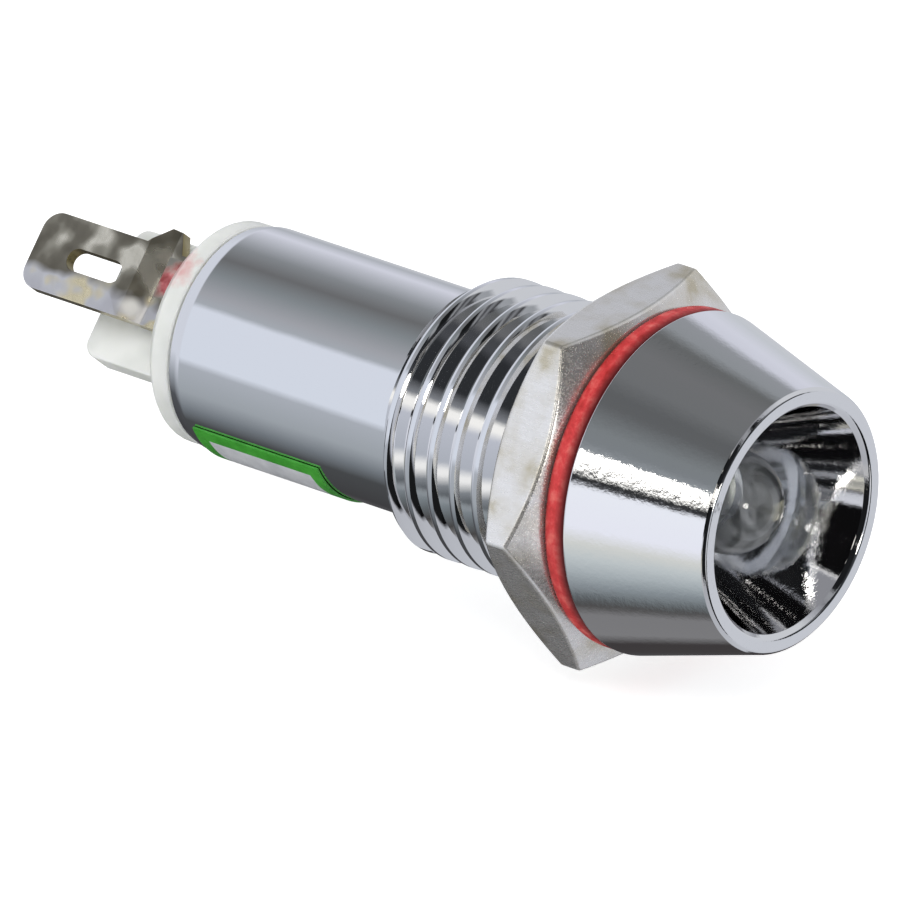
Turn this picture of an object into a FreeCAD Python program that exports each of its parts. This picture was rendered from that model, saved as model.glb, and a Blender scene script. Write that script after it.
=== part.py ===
"""Panel pilot light for an 8 mm panel hole.

A turned, chrome-plated body carries everything: a conical head with a mirror-bright recess,
an 8 mm screw thread with its hex nut and sealing gasket, and a plain barrel. A clear 3 mm
lamp stands in the recess. Its series resistor and return wire run back through an insulating
tube to two solder lugs in a nylon end plug, which has a wall between the lugs.

Every piece is modelled about the lamp's axis, with local +Z out of the lens and z = 0 on the
rear face of the head, where the panel seals. Its Placement then turns it to look along -Y,
with +Z up. The lugs, the plug and the pieces between them and the lens are also rolled about
the axis, so that their local +X points from the dividing wall to the positive lug.
"""
import FreeCAD, Part
import math
import operator
import os
import types

import Sketcher
from FreeCAD import Vector

# Driving sizes in millimetres and degrees. The text after each says what it is.
DRIVING_SIZES = [
    ("head_dia", 9.82, "head across its rear edge"),
    ("rim_dia", 7.56, "head across its front rim"),
    ("head_length", 4.12, "panel seat to rim"),
    ("rim_break", 0.16, "broken outer edge of the rim"),
    ("recess_mouth_dia", 6.54, "mirror recess at the rim"),
    ("recess_floor_dia", 3.40, "mirror recess at its floor"),
    ("recess_depth", 3.80, "rim to recess floor"),
    ("web_thickness", 1.20, "metal between the recess and the bore"),
    ("thread_dia", 8.00, "thread over its crests"),
    ("thread_pitch", 0.80, "thread advance in one turn"),
    ("thread_flank_angle", 30.0, "slope of a thread flank from square"),
    ("thread_crest", 0.20, "flat on a thread crest"),
    ("thread_reach", 7.52, "panel seat to the end of the thread"),
    ("thread_chamfer", 0.40, "chamfer at the end of the thread"),
    ("undercut_dia", 6.90, "thread relief behind the head"),
    ("undercut_length", 1.40, "length of the thread relief"),
    ("barrel_dia", 6.52, "plain barrel"),
    ("barrel_reach", 15.65, "panel seat to the end of the barrel"),
    ("barrel_break", 0.20, "broken rear edge of the barrel"),
    ("gasket_dia", 9.76, "gasket across its outer edge"),
    ("gasket_thickness", 0.74, "gasket along the axis"),
    ("running_gap", 0.05, "gap between pieces that turn on each other"),
    ("seat_gap", 0.02, "gap where a turning piece meets a flat seat"),
    ("nut_across_flats", 10.0, "hex nut across flats"),
    ("nut_thickness", 1.85, "hex nut along the axis"),
    ("nut_face_inset", 0.25, "nut's flats to the ring where its corner chamfer starts"),
    ("nut_chamfer_angle", 30.0, "slope of the nut's corner chamfer"),
    ("nut_mouth_chamfer", 0.35, "countersink at each end of the nut's thread"),
    ("nut_bite", 0.41, "depth of the nut's thread ridges inside the crest diameter"),
    ("nut_roll", 4.4, "turn of the nut about the axis when tight"),
    ("lens_dia", 2.95, "lamp lens"),
    ("lens_stem", 2.80, "lens flange to the centre of its dome"),
    ("lens_flange_dia", 3.80, "flange at the lens's foot"),
    ("lens_flange_height", 1.00, "length of that flange"),
    ("lens_flat", 1.68, "axis to the flat that marks the cathode side"),
    ("lens_gap", 0.03, "gap round the lens"),
    ("press_gap", 0.02, "gap at pieces that are pushed or glued home"),
    ("lead_side", 0.45, "square lamp lead"),
    ("lead_spacing", 2.54, "lamp leads, centre to centre"),
    ("anode_lead_length", 2.60, "longer lamp lead behind the lens"),
    ("cathode_lead_length", 2.30, "shorter lamp lead behind the lens"),
    ("shoulder_inset", 0.25, "lens foot to the lead frame's shoulders"),
    ("shoulder_height", 0.40, "lead frame's shoulders along the axis"),
    ("anvil_near", 0.30, "axis to the cathode post's side toward the anode"),
    ("anvil_far", 0.72, "axis to the cathode post's other side"),
    ("anvil_height", 2.60, "lens foot to the cup's foot"),
    ("cup_dia", 0.80, "reflector cup outside"),
    ("cup_mouth_dia", 0.64, "reflector cup at its mouth"),
    ("cup_floor_dia", 0.42, "reflector cup at its floor"),
    ("cup_height", 0.55, "reflector cup outside"),
    ("cup_depth", 0.30, "reflector cup inside"),
    ("die_side", 0.26, "square of the light-emitting die"),
    ("die_height", 0.12, "thickness of the die"),
    ("post_near", 0.56, "axis to the near side of the anode post"),
    ("post_width", 0.38, "anode post"),
    ("post_height", 3.05, "lens foot to the top of the anode post"),
    ("collar_foot", 0.55, "lamp collar behind the lens flange"),
    ("collar_hole_dia", 3.30, "opening for the leads in the collar's foot"),
    ("wire_dia", 0.45, "resistor leads and return wire"),
    ("lap_gap", 0.02, "solder film between lapped conductors"),
    ("lap_length", 1.00, "length over which conductors are lapped"),
    ("resistor_dia", 1.70, "resistor"),
    ("resistor_length", 3.40, "resistor"),
    ("resistor_start", 5.60, "panel seat to the resistor's front end"),
    ("sleeve_wall", 0.14, "shrink sleeve on the resistor"),
    ("sleeve_overhang", 0.35, "sleeve past each end of the resistor"),
    ("joint_length", 1.30, "solder joint along the wire"),
    ("joint_dia", 1.14, "solder joint across both conductors"),
    ("insulation_dia", 0.95, "insulation on the return wire"),
    ("insulation_strip", 0.80, "bare wire between a joint and the insulation"),
    ("tube_clearance", 0.136, "resistor sleeve to the insulating tube"),
    ("tube_wall", 0.28, "insulating tube in the bore"),
    ("tube_end_gap", 0.10, "insulating tube to the pieces at its ends"),
    ("plug_reach", 3.00, "plug inside the barrel"),
    ("plug_flange_dia", 6.37, "plug's rear flange"),
    ("plug_flange_height", 0.90, "plug's rear flange"),
    ("plug_flange_break", 0.34, "sloping rear edge of the flange"),
    ("wall_width", 3.90, "dividing wall"),
    ("wall_thickness", 0.95, "dividing wall"),
    ("wall_height", 3.53, "dividing wall behind the flange"),
    ("wall_corner", 0.45, "rounding of the wall's free corners"),
    ("terminal_roll", 139.8, "turn of the lug side about the axis"),
    ("lug_thickness", 0.40, "solder lug sheet"),
    ("lug_length", 5.90, "positive lug behind the flange"),
    ("short_lug_length", 4.43, "negative lug behind the flange"),
    ("blade_width", 2.29, "lug blade"),
    ("blade_offset", 0.33, "blade's centre line beside the plug's middle"),
    ("blade_corner", 0.55, "rounding of the blade's corners"),
    ("slot_length", 1.92, "wire slot in the positive lug"),
    ("short_slot_length", 0.95, "wire slot in the negative lug"),
    ("slot_width", 0.66, "wire slot in either blade"),
    ("slot_inset", 1.23, "positive lug's tip to its slot"),
    ("short_slot_inset", 0.85, "negative lug's tip to its slot"),
    ("root_width", 2.22, "lug where it leaves the flange"),
    ("root_offset", 0.34, "root's centre line beside the plug's middle"),
    ("ear_reach", 0.62, "how far the ear stands out from the root's side"),
    ("ear_start", 1.35, "flange to where the root widens into its ear"),
    ("ear_front", 1.64, "flange to where the ear has its full width"),
    ("ear_rear", 1.91, "flange to where the ear narrows again"),
    ("ear_end", 2.38, "flange to where the ear has narrowed to the blade"),
    ("root_straight", 1.73, "lug from the flange to its first bend"),
    ("joggle_length", 0.62, "sloping stretch between the lug's two bends"),
    ("joggle_step", 0.35, "how far the bends move the blade outward"),
    ("tail_width", 1.30, "lug inside the plug"),
    ("tail_reach", 1.30, "lug in front of the plug"),
    ("label_length", 4.50, "label along the barrel"),
    ("label_start", 10.40, "panel seat to the label"),
    ("label_angle", 100.0, "label round the barrel"),
    ("label_edge", 207.5, "upper edge of the label about the axis"),
    ("label_thickness", 0.06, "label sheet"),
    ("label_border", 0.42, "coloured border of the label"),
    ("label_field_inset", 0.03, "how far the blank field is let into the label"),
    ("mark_width", 1.20, "polarity paint across the lug"),
    ("mark_offset", 0.70, "polarity paint's middle beside the plug's middle"),
    ("mark_length", 1.62, "polarity paint along the lug"),
    ("mark_inset", 0.05, "flange to the polarity paint"),
    ("mark_thickness", 0.04, "polarity paint"),
]


class Size:
    """A number together with the sheet expression that gives it."""

    def __init__(self, value, text):
        self.value = value
        self.text = text

    def __add__(self, other):
        return joined(self, "+", other, operator.add)

    def __radd__(self, other):
        return joined(other, "+", self, operator.add)

    def __sub__(self, other):
        return joined(self, "-", other, operator.sub)

    def __rsub__(self, other):
        return joined(other, "-", self, operator.sub)

    def __mul__(self, other):
        return joined(self, "*", other, operator.mul)

    def __rmul__(self, other):
        return joined(other, "*", self, operator.mul)

    def __truediv__(self, other):
        return joined(self, "/", other, operator.truediv)

    def __neg__(self):
        return Size(-self.value, f"(0 - {self.text})")


def number(size):
    """Give the plain number of a size or of a bare number."""
    return size.value if isinstance(size, Size) else float(size)


def wording(size):
    """Give the sheet expression of a size or of a bare number."""
    return size.text if isinstance(size, Size) else f"{size:.12g}"


def joined(left, sign, right, action):
    """Join two sizes into one, in number and in words."""
    return Size(action(number(left), number(right)), f"({wording(left)} {sign} {wording(right)})")


def tangent(angle):
    """Give the tangent of an angle size in degrees."""
    return Size(math.tan(math.radians(angle.value)), f"tan({angle.text})")


def cosine(angle):
    """Give the cosine of an angle size in degrees."""
    return Size(math.cos(math.radians(angle.value)), f"cos({angle.text})")


def square_root(size):
    """Give the square root of a size."""
    return Size(math.sqrt(size.value), f"sqrt({size.text})")


def regular_corners(sides, radius):
    """Give the corners of a regular polygon about the axis, the first on +X."""
    corners = []
    for step in range(sides):
        angle = 2 * math.pi * step / sides
        x = round(math.cos(angle), 12)
        y = round(math.sin(angle), 12)
        corners.append((x * radius if x else 0, y * radius if y else 0))
    return corners


FULL_TURN = 360
HEXAGON_SIDES = 6
HALF_SIDE_COSINE = math.cos(math.pi / HEXAGON_SIDES)
DEGREES_IN_RADIAN = math.degrees(1)

# A cut that goes right through reaches over this many times the size it passes.
PAST = 3
# An edge is at a place if it lies this near to it, in millimetres.
NEAR = 1e-4
# A cut that takes less than this away, in cubic millimetres, has missed.
LEAST_CUT = 1e-6

doc = FreeCAD.newDocument("pilot_light")
sheet = doc.addObject("Spreadsheet::Sheet", "Sizes")
s = types.SimpleNamespace()
for row, (alias, value, meaning) in enumerate(DRIVING_SIZES, start=1):
    sheet.set(f"A{row}", alias)
    sheet.set(f"B{row}", str(value))
    sheet.set(f"C{row}", meaning)
    sheet.setAlias(f"B{row}", alias)
    setattr(s, alias, Size(float(value), f"Sizes.{alias}"))
doc.recompute()

# Levels along the axis, all measured from the panel seat, negative behind it.
WEB_REAR = s.head_length - s.recess_depth - s.web_thickness
LENS_FOOT = WEB_REAR - s.lens_flange_height
DOME_CENTRE = WEB_REAR + s.lens_stem
COLLAR_REAR = LENS_FOOT - s.press_gap - s.collar_foot
PLUG_FRONT = s.plug_reach - s.barrel_reach
BARREL_REAR = -s.barrel_reach
FLANGE_REAR = BARREL_REAR - s.plug_flange_height
THREAD_START = -s.undercut_length / 2
NUT_FRONT = -s.gasket_thickness - 2 * s.seat_gap
NUT_REAR = NUT_FRONT - s.nut_thickness
RESISTOR_FRONT = -s.resistor_start
RESISTOR_REAR = RESISTOR_FRONT - s.resistor_length
TAIL_TIP = PLUG_FRONT + s.tail_reach

# Places across the axis, in the rolled frame of the lugs.
LEAD_PLACE = s.lead_spacing / 2
WIRE_PLACE = (s.lead_side + s.wire_dia) / 2 + s.lap_gap
TAIL_PLACE = LEAD_PLACE - s.wire_dia / 2 - s.lap_gap - s.lug_thickness / 2

# The bore is as wide as the sleeved resistor beside the axis and the tube round it ask for.
SLEEVE_INSIDE = s.resistor_dia / 2 + s.press_gap
RESISTOR_PLACE = square_root(LEAD_PLACE * LEAD_PLACE + WIRE_PLACE * WIRE_PLACE)
TUBE_INSIDE = RESISTOR_PLACE + SLEEVE_INSIDE + s.sleeve_wall + s.tube_clearance
LINING = TUBE_INSIDE + s.tube_wall
BORE = LINING + s.press_gap


def lamp_pose(roll=None):
    """Give the expression that turns a piece to look along -Y, after an optional roll."""
    pose = "placement(vector(0; 0; 0); rotation(vector(1; 0; 0); 90))"
    if roll is None:
        return pose
    return f"{pose} * placement(vector(0; 0; 0); rotation(vector(0; 0; 1); {roll.text}))"


def moved_pose(place, roll=None):
    """Give the expression of the lamp's pose, moved first to a place in the piece's own frame."""
    x, y, z = (wording(part) for part in place)
    shift = f"placement(vector({x}; {y}; {z}); rotation(vector(0; 0; 1); 0))"
    return f"{lamp_pose(roll)} * {shift}"


def new_body(name, roll=None):
    """Start a body that lies on the lamp's axis."""
    body = doc.addObject("PartDesign::Body", name)
    body.Label = name
    body.setExpression("Placement", lamp_pose(roll))
    return body


def bind(feature, name, size):
    """Tie a property of a feature to a size."""
    feature.setExpression(name, wording(size))


def new_sketch(body, name, role):
    """Start a sketch on one of the body's own origin planes."""
    plane = next(item for item in body.Origin.OriginFeatures if item.Role == role)
    sketch = body.newObject("Sketcher::SketchObject", name)
    sketch.AttachmentSupport = [(plane, "")]
    sketch.MapMode = "FlatFace"
    return sketch


def hold(sketch, curve, end, x, y):
    """Hold a point of a sketch at two sizes measured from the sketch's origin."""
    for kind, size, axis in (("DistanceX", x, -2), ("DistanceY", y, -1)):
        if size is None:
            continue
        if number(size) == 0 and not isinstance(size, Size):
            sketch.addConstraint(Sketcher.Constraint("PointOnObject", curve, end, axis))
            continue
        place = sketch.addConstraint(Sketcher.Constraint(kind, -1, 1, curve, end, number(size)))
        sketch.setExpression(f"Constraints[{place}]", wording(size))


def draw(sketch, corners):
    """Draw a closed outline of straight lines through the corners."""
    first = sketch.GeometryCount
    points = [Vector(number(x), number(y), 0) for x, y in corners]
    for start, end in zip(points, points[1:] + points[:1]):
        sketch.addGeometry(Part.LineSegment(start, end), False)
    for step, (x, y) in enumerate(corners):
        following = first + (step + 1) % len(corners)
        sketch.addConstraint(Sketcher.Constraint("Coincident", first + step, 2, following, 1))
        hold(sketch, first + step, 1, x, y)


def draw_circle(sketch, x, y, dia):
    """Draw a circle about a held centre."""
    circle = Part.Circle(Vector(number(x), number(y), 0), Vector(0, 0, 1), number(dia) / 2)
    curve = sketch.addGeometry(circle, False)
    hold(sketch, curve, 3, x, y)
    place = sketch.addConstraint(Sketcher.Constraint("Diameter", curve, number(dia)))
    sketch.setExpression(f"Constraints[{place}]", wording(dia))


def turn(body, name, corners):
    """Turn an outline, given as radius and height, about the body's axis."""
    sketch = new_sketch(body, f"{name}_outline", "XZ_Plane")
    draw(sketch, corners)
    return turn_sketch(body, name, sketch)


def turn_sketch(body, name, sketch):
    """Turn a drawn outline about the body's axis."""
    feature = body.newObject("PartDesign::Revolution", name)
    feature.Profile = sketch
    feature.ReferenceAxis = (sketch, ["V_Axis"])
    feature.Angle = FULL_TURN
    return feature


def pad(body, name, role, corners, length):
    """Pad an outline by the same amount on both sides of its plane."""
    sketch = new_sketch(body, f"{name}_outline", role)
    draw(sketch, corners)
    feature = body.newObject("PartDesign::Pad", name)
    feature.Profile = sketch
    feature.Midplane = True
    bind(feature, "Length", length)
    return feature


def pocket(body, name, sketch, length):
    """Cut a drawn outline through a body on both sides of its plane."""
    before = solid_volume(body)
    feature = body.newObject("PartDesign::Pocket", name)
    feature.Profile = sketch
    feature.Midplane = True
    bind(feature, "Length", length)
    require_change(body, name, before)
    return feature


def solid_volume(body):
    """Give the volume of a body as built so far."""
    doc.recompute()
    return body.Shape.Volume


def require_change(body, name, before):
    """Stop the build where a feature left its body as it was."""
    doc.recompute()
    if abs(body.Shape.Volume - before) < LEAST_CUT:
        raise RuntimeError(f"{name} changed nothing on {body.Label}")


def edges_at(body, wanted):
    """Name the edges of a body, in its own frame, that a test picks."""
    doc.recompute()
    shape = body.Tip.Shape
    return [f"Edge{place}" for place, edge in enumerate(shape.Edges, start=1) if wanted(edge)]


def ring_at(radius, height):
    """Give a test for the full circle of a radius at a height on the axis."""

    def wanted(edge):
        curve = edge.Curve
        if not isinstance(curve, Part.Circle):
            return False
        level = abs(curve.Center.z - number(height)) < NEAR
        return level and abs(curve.Radius - number(radius)) < NEAR

    return wanted


def round_edges(body, name, wanted, radius):
    """Round the edges of a body that a test picks."""
    return dress_edges(body, name, wanted, "PartDesign::Fillet", "Radius", radius)


def break_edges(body, name, wanted, size):
    """Chamfer the edges of a body that a test picks."""
    return dress_edges(body, name, wanted, "PartDesign::Chamfer", "Size", size)


def dress_edges(body, name, wanted, kind, property_name, size):
    """Add a fillet or a chamfer on the edges of a body that a test picks."""
    names = edges_at(body, wanted)
    if not names:
        raise RuntimeError(f"{name} found no edge on {body.Label}")
    base = body.Tip
    feature = body.newObject(kind, name)
    feature.Base = (base, names)
    bind(feature, property_name, size)
    doc.recompute()
    body.Tip = feature
    return feature


def cut_thread(body, name, corners, lead_in, length):
    """Cut a right-hand helical groove rearward from a level on the axis."""
    before = solid_volume(body)
    sketch = new_sketch(body, f"{name}_outline", "XZ_Plane")
    draw(sketch, [(radius, lead_in + height) for radius, height in corners])
    feature = body.newObject("PartDesign::SubtractiveHelix", name)
    feature.Profile = sketch
    feature.ReferenceAxis = (sketch, ["V_Axis"])
    feature.Mode = "pitch-height-angle"
    bind(feature, "Pitch", s.thread_pitch)
    bind(feature, "Height", length)
    feature.Reversed = True
    feature.LeftHanded = False
    require_change(body, name, before)
    return feature


def runs_across(edge):
    """Tell whether an edge is a straight line along X."""
    if not isinstance(edge.Curve, Part.Line):
        return False
    direction = edge.Curve.Direction
    return abs(direction.y) < NEAR and abs(direction.z) < NEAR


def make_lamp_body():
    """Turn the body: head, thread, barrel, bore and recess, then cut the thread."""
    body = new_body("lamp_body")
    head = s.head_dia / 2
    rim = s.rim_dia / 2
    crest = s.thread_dia / 2
    barrel = s.barrel_dia / 2
    floor_level = s.head_length - s.recess_depth
    lens_hole = s.lens_dia / 2 + s.lens_gap
    turn(body, "turned_blank", [
        (lens_hole, floor_level),
        (s.recess_floor_dia / 2, floor_level),
        (s.recess_mouth_dia / 2, s.head_length),
        (rim, s.head_length),
        (head, 0),
        (s.undercut_dia / 2, 0),
        (s.undercut_dia / 2, -s.undercut_length),
        (crest, -s.undercut_length),
        (crest, s.thread_chamfer - s.thread_reach),
        (crest - s.thread_chamfer, -s.thread_reach),
        (barrel, -s.thread_reach),
        (barrel, BARREL_REAR),
        (BORE, BARREL_REAR),
        (BORE, WEB_REAR),
        (lens_hole, WEB_REAR),
    ])
    break_edges(body, "rim_edge", ring_at(rim, s.head_length), s.rim_break)
    break_edges(body, "barrel_end", ring_at(barrel, BARREL_REAR), s.barrel_break)
    slope = tangent(s.thread_flank_angle)
    half = (s.thread_pitch - s.thread_crest) / 2
    over = s.running_gap
    groove = [
        (crest - half / slope, 0),
        (crest + over, -half - over * slope),
        (crest + over, half + over * slope),
    ]
    cut_thread(body, "thread", groove, THREAD_START, s.thread_reach + THREAD_START + s.thread_pitch)
    return body


def make_gasket():
    """Turn the rubber ring that seals the head against the panel."""
    body = new_body("sealing_gasket")
    outer = s.gasket_dia / 2
    inner = s.thread_dia / 2 + s.running_gap
    front = -s.seat_gap
    rear = front - s.gasket_thickness
    turn(body, "ring", [(inner, rear), (outer, rear), (outer, front), (inner, front)])
    return body


def make_nut():
    """Turn the nut blank with its corner chamfers, mill the hexagon and cut the inside thread."""
    body = new_body("hex_nut", s.nut_roll)
    crest = s.thread_dia / 2
    bore = crest - s.nut_bite
    face = s.nut_across_flats / 2 - s.nut_face_inset
    corner = s.nut_across_flats / (2 * HALF_SIDE_COSINE)
    drop = (corner - face) * tangent(s.nut_chamfer_angle)
    turn(body, "blank", [
        (bore + s.nut_mouth_chamfer, NUT_REAR),
        (face, NUT_REAR),
        (corner, NUT_REAR + drop),
        (corner, NUT_FRONT - drop),
        (face, NUT_FRONT),
        (bore + s.nut_mouth_chamfer, NUT_FRONT),
        (bore, NUT_FRONT - s.nut_mouth_chamfer),
        (bore, NUT_REAR + s.nut_mouth_chamfer),
    ])
    flats = new_sketch(body, "flats_outline", "XY_Plane")
    draw_circle(flats, 0, 0, PAST * corner)
    draw(flats, regular_corners(HEXAGON_SIDES, corner))
    pocket(body, "flats", flats, -PAST * NUT_REAR)
    slope = tangent(s.thread_flank_angle)
    half = s.thread_crest / 2 + s.running_gap / cosine(s.thread_flank_angle)
    inside = bore - s.running_gap
    groove = [
        (crest + half / slope, 0),
        (inside, -half - (crest - inside) * slope),
        (inside, half + (crest - inside) * slope),
    ]
    roll_shift = s.thread_pitch * s.nut_roll / FULL_TURN
    ridge_level = THREAD_START + s.thread_pitch / 2 + roll_shift
    cut_thread(body, "inside_thread", groove, ridge_level, ridge_level - NUT_REAR + s.thread_pitch)
    return body


def make_lens(inserts):
    """Turn the clear lens with its flange and dome, and cast it round the lead frame."""
    body = new_body("lens_blank", s.terminal_roll)
    side = s.lens_dia / 2
    flange = s.lens_flange_dia / 2
    sketch = new_sketch(body, "lens_outline", "XZ_Plane")
    stops = [
        (0, LENS_FOOT),
        (flange, LENS_FOOT),
        (flange, WEB_REAR),
        (side, WEB_REAR),
        (side, DOME_CENTRE),
    ]
    points = [Vector(number(x), number(y), 0) for x, y in stops]
    for start, end in zip(points, points[1:]):
        sketch.addGeometry(Part.LineSegment(start, end), False)
    centre = Vector(0, number(DOME_CENTRE), 0)
    circle = Part.Circle(centre, Vector(0, 0, 1), number(side))
    dome = sketch.addGeometry(Part.ArcOfCircle(circle, 0, math.pi / 2), False)
    tip = centre + Vector(0, number(side), 0)
    axis_line = sketch.addGeometry(Part.LineSegment(tip, points[0]), False)
    for curve in range(axis_line + 1):
        following = (curve + 1) % (axis_line + 1)
        sketch.addConstraint(Sketcher.Constraint("Coincident", curve, 2, following, 1))
    for curve, (x, y) in enumerate(stops):
        hold(sketch, curve, 1, x, y)
    hold(sketch, dome, 3, 0, DOME_CENTRE)
    sketch.addConstraint(Sketcher.Constraint("PointOnObject", dome, 2, -2))
    turn_sketch(body, "lens_turned", sketch)
    flat = new_sketch(body, "cathode_flat_outline", "XZ_Plane")
    draw(flat, [
        (-flange - s.lens_flange_height, LENS_FOOT - s.lens_flange_height),
        (-s.lens_flat, LENS_FOOT - s.lens_flange_height),
        (-s.lens_flat, WEB_REAR),
        (-flange - s.lens_flange_height, WEB_REAR),
    ])
    pocket(body, "cathode_flat", flat, PAST * s.lens_flange_dia)
    return cut_round("led_lens", body, inserts)


def cut_round(name, blank, inserts):
    """Cut the pieces that a blank is cast or soldered round out of it."""
    joined_inserts = doc.addObject("Part::MultiFuse", f"{name}_inserts")
    joined_inserts.Shapes = inserts
    piece = doc.addObject("Part::Cut", name)
    piece.Label = name
    piece.Base = blank
    piece.Tool = joined_inserts
    return piece


def make_cathode_frame():
    """Stamp the lead frame half that carries the reflector cup."""
    body = new_body("led_cathode_frame", s.terminal_roll)
    outer = -LEAD_PLACE - s.lead_side / 2
    inner = -LEAD_PLACE + s.lead_side / 2
    lead_end = LENS_FOOT - s.cathode_lead_length
    shoulder = LENS_FOOT + s.shoulder_inset
    anvil_top = LENS_FOOT + s.anvil_height
    pad(body, "stamping", "XZ_Plane", [
        (outer, lead_end),
        (inner, lead_end),
        (inner, shoulder),
        (s.anvil_near, shoulder),
        (s.anvil_near, anvil_top),
        (-s.anvil_far, anvil_top),
        (-s.anvil_far, shoulder + s.shoulder_height),
        (outer, shoulder + s.shoulder_height),
    ], s.lead_side)
    cup = s.cup_dia / 2
    cup_top = anvil_top + s.cup_height
    cup_floor = cup_top - s.cup_depth
    turn(body, "reflector_cup", [
        (0, anvil_top),
        (cup, anvil_top),
        (cup, cup_top),
        (s.cup_mouth_dia / 2, cup_top),
        (s.cup_floor_dia / 2, cup_floor),
        (0, cup_floor),
    ])
    return body


def make_anode_post():
    """Stamp the lead frame half that the bond wire is welded to."""
    body = new_body("led_anode_post", s.terminal_roll)
    outer = LEAD_PLACE + s.lead_side / 2
    inner = LEAD_PLACE - s.lead_side / 2
    lead_end = LENS_FOOT - s.anode_lead_length
    shoulder = LENS_FOOT + s.shoulder_inset
    post_top = LENS_FOOT + s.post_height
    pad(body, "stamping", "XZ_Plane", [
        (inner, lead_end),
        (outer, lead_end),
        (outer, shoulder + s.shoulder_height),
        (s.post_near + s.post_width, shoulder + s.shoulder_height),
        (s.post_near + s.post_width, post_top),
        (s.post_near, post_top),
        (s.post_near, shoulder),
        (inner, shoulder),
    ], s.lead_side)
    return body


def make_die():
    """Make the light-emitting die on the floor of the reflector cup."""
    body = new_body("led_die", s.terminal_roll)
    floor = LENS_FOOT + s.anvil_height + s.cup_height - s.cup_depth
    half = s.die_side / 2
    pad(body, "die", "XZ_Plane", [
        (-half, floor),
        (half, floor),
        (half, floor + s.die_height),
        (-half, floor + s.die_height),
    ], s.die_side)
    return body


def make_collar():
    """Turn the bush that holds the lens flange against the web."""
    body = new_body("led_collar")
    pocket_side = s.lens_flange_dia / 2 + s.lens_gap
    turn(body, "bush", [
        (s.collar_hole_dia / 2, COLLAR_REAR),
        (LINING, COLLAR_REAR),
        (LINING, WEB_REAR - s.press_gap),
        (pocket_side, WEB_REAR - s.press_gap),
        (pocket_side, LENS_FOOT - s.press_gap),
        (s.collar_hole_dia / 2, LENS_FOOT - s.press_gap),
    ])
    return body


def make_rod(name, x, y, dia, front, rear):
    """Make a straight round piece beside the lamp's axis."""
    body = doc.addObject("PartDesign::Body", name)
    body.Label = name
    body.setExpression("Placement", moved_pose((x, y, 0), s.terminal_roll))
    turn(body, "rod", [(0, rear), (dia / 2, rear), (dia / 2, front), (0, front)])
    return body


def make_sleeve(name, x, y, inner, outer, front, rear):
    """Make a straight tube beside the lamp's axis, from its inner and outer radius."""
    body = doc.addObject("PartDesign::Body", name)
    body.Label = name
    body.setExpression("Placement", moved_pose((x, y, 0), s.terminal_roll))
    turn(body, "tube", [(inner, rear), (outer, rear), (outer, front), (inner, front)])
    return body


def make_solder(name, x, y, level, conductors):
    """Make the solder that wets two lapped conductors."""
    drop = doc.addObject("Part::Cylinder", f"{name}_drop")
    bind(drop, "Radius", s.joint_dia / 2)
    bind(drop, "Height", s.joint_length)
    drop.setExpression("Placement", moved_pose((x, y, level - s.joint_length / 2), s.terminal_roll))
    return cut_round(name, drop, conductors)


def make_wiring(cathode, anode, positive, negative):
    """Make the resistor, the return wire, their sleeves and the four solder joints."""
    anode_end = LENS_FOOT - s.anode_lead_length
    cathode_end = LENS_FOOT - s.cathode_lead_length
    rear_tip = TAIL_TIP - s.lap_length
    x = LEAD_PLACE
    y = WIRE_PLACE
    wire = s.wire_dia
    front_lead = make_rod("resistor_lead_front", x, y, wire, anode_end + s.lap_length, RESISTOR_FRONT)
    rear_lead = make_rod("resistor_lead_rear", x, y, wire, RESISTOR_REAR, rear_tip)
    resistor = make_rod("resistor", x, y, s.resistor_dia, RESISTOR_FRONT, RESISTOR_REAR)
    return_wire = make_rod("return_wire", -x, y, wire, cathode_end + s.lap_length, rear_tip)
    sleeve = make_sleeve(
        "resistor_sleeve", x, y, SLEEVE_INSIDE, SLEEVE_INSIDE + s.sleeve_wall,
        RESISTOR_FRONT + s.sleeve_overhang, RESISTOR_REAR - s.sleeve_overhang,
    )
    insulation = make_sleeve(
        "return_wire_insulation", -x, y, wire / 2 + s.press_gap, s.insulation_dia / 2,
        cathode_end - s.insulation_strip, TAIL_TIP + s.insulation_strip,
    )
    half_lap = s.lap_length / 2
    beside_lead = WIRE_PLACE / 2
    beside_tail = (LEAD_PLACE + TAIL_PLACE) / 2
    tail_level = TAIL_TIP - half_lap
    joints = [
        make_solder("solder_anode", x, beside_lead, anode_end + half_lap, [anode, front_lead]),
        make_solder("solder_cathode", -x, beside_lead, cathode_end + half_lap, [cathode, return_wire]),
        make_solder("solder_positive_lug", beside_tail, y, tail_level, [positive, rear_lead]),
        make_solder("solder_negative_lug", -beside_tail, y, tail_level, [negative, return_wire]),
    ]
    return [front_lead, rear_lead, resistor, return_wire, sleeve, insulation] + joints


def make_tube():
    """Turn the insulating tube that lines the bore between the collar and the plug."""
    body = new_body("insulating_tube")
    front = COLLAR_REAR - s.tube_end_gap
    rear = PLUG_FRONT + s.tube_end_gap
    turn(body, "tube", [(TUBE_INSIDE, rear), (LINING, rear), (LINING, front), (TUBE_INSIDE, front)])
    return body


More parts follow.
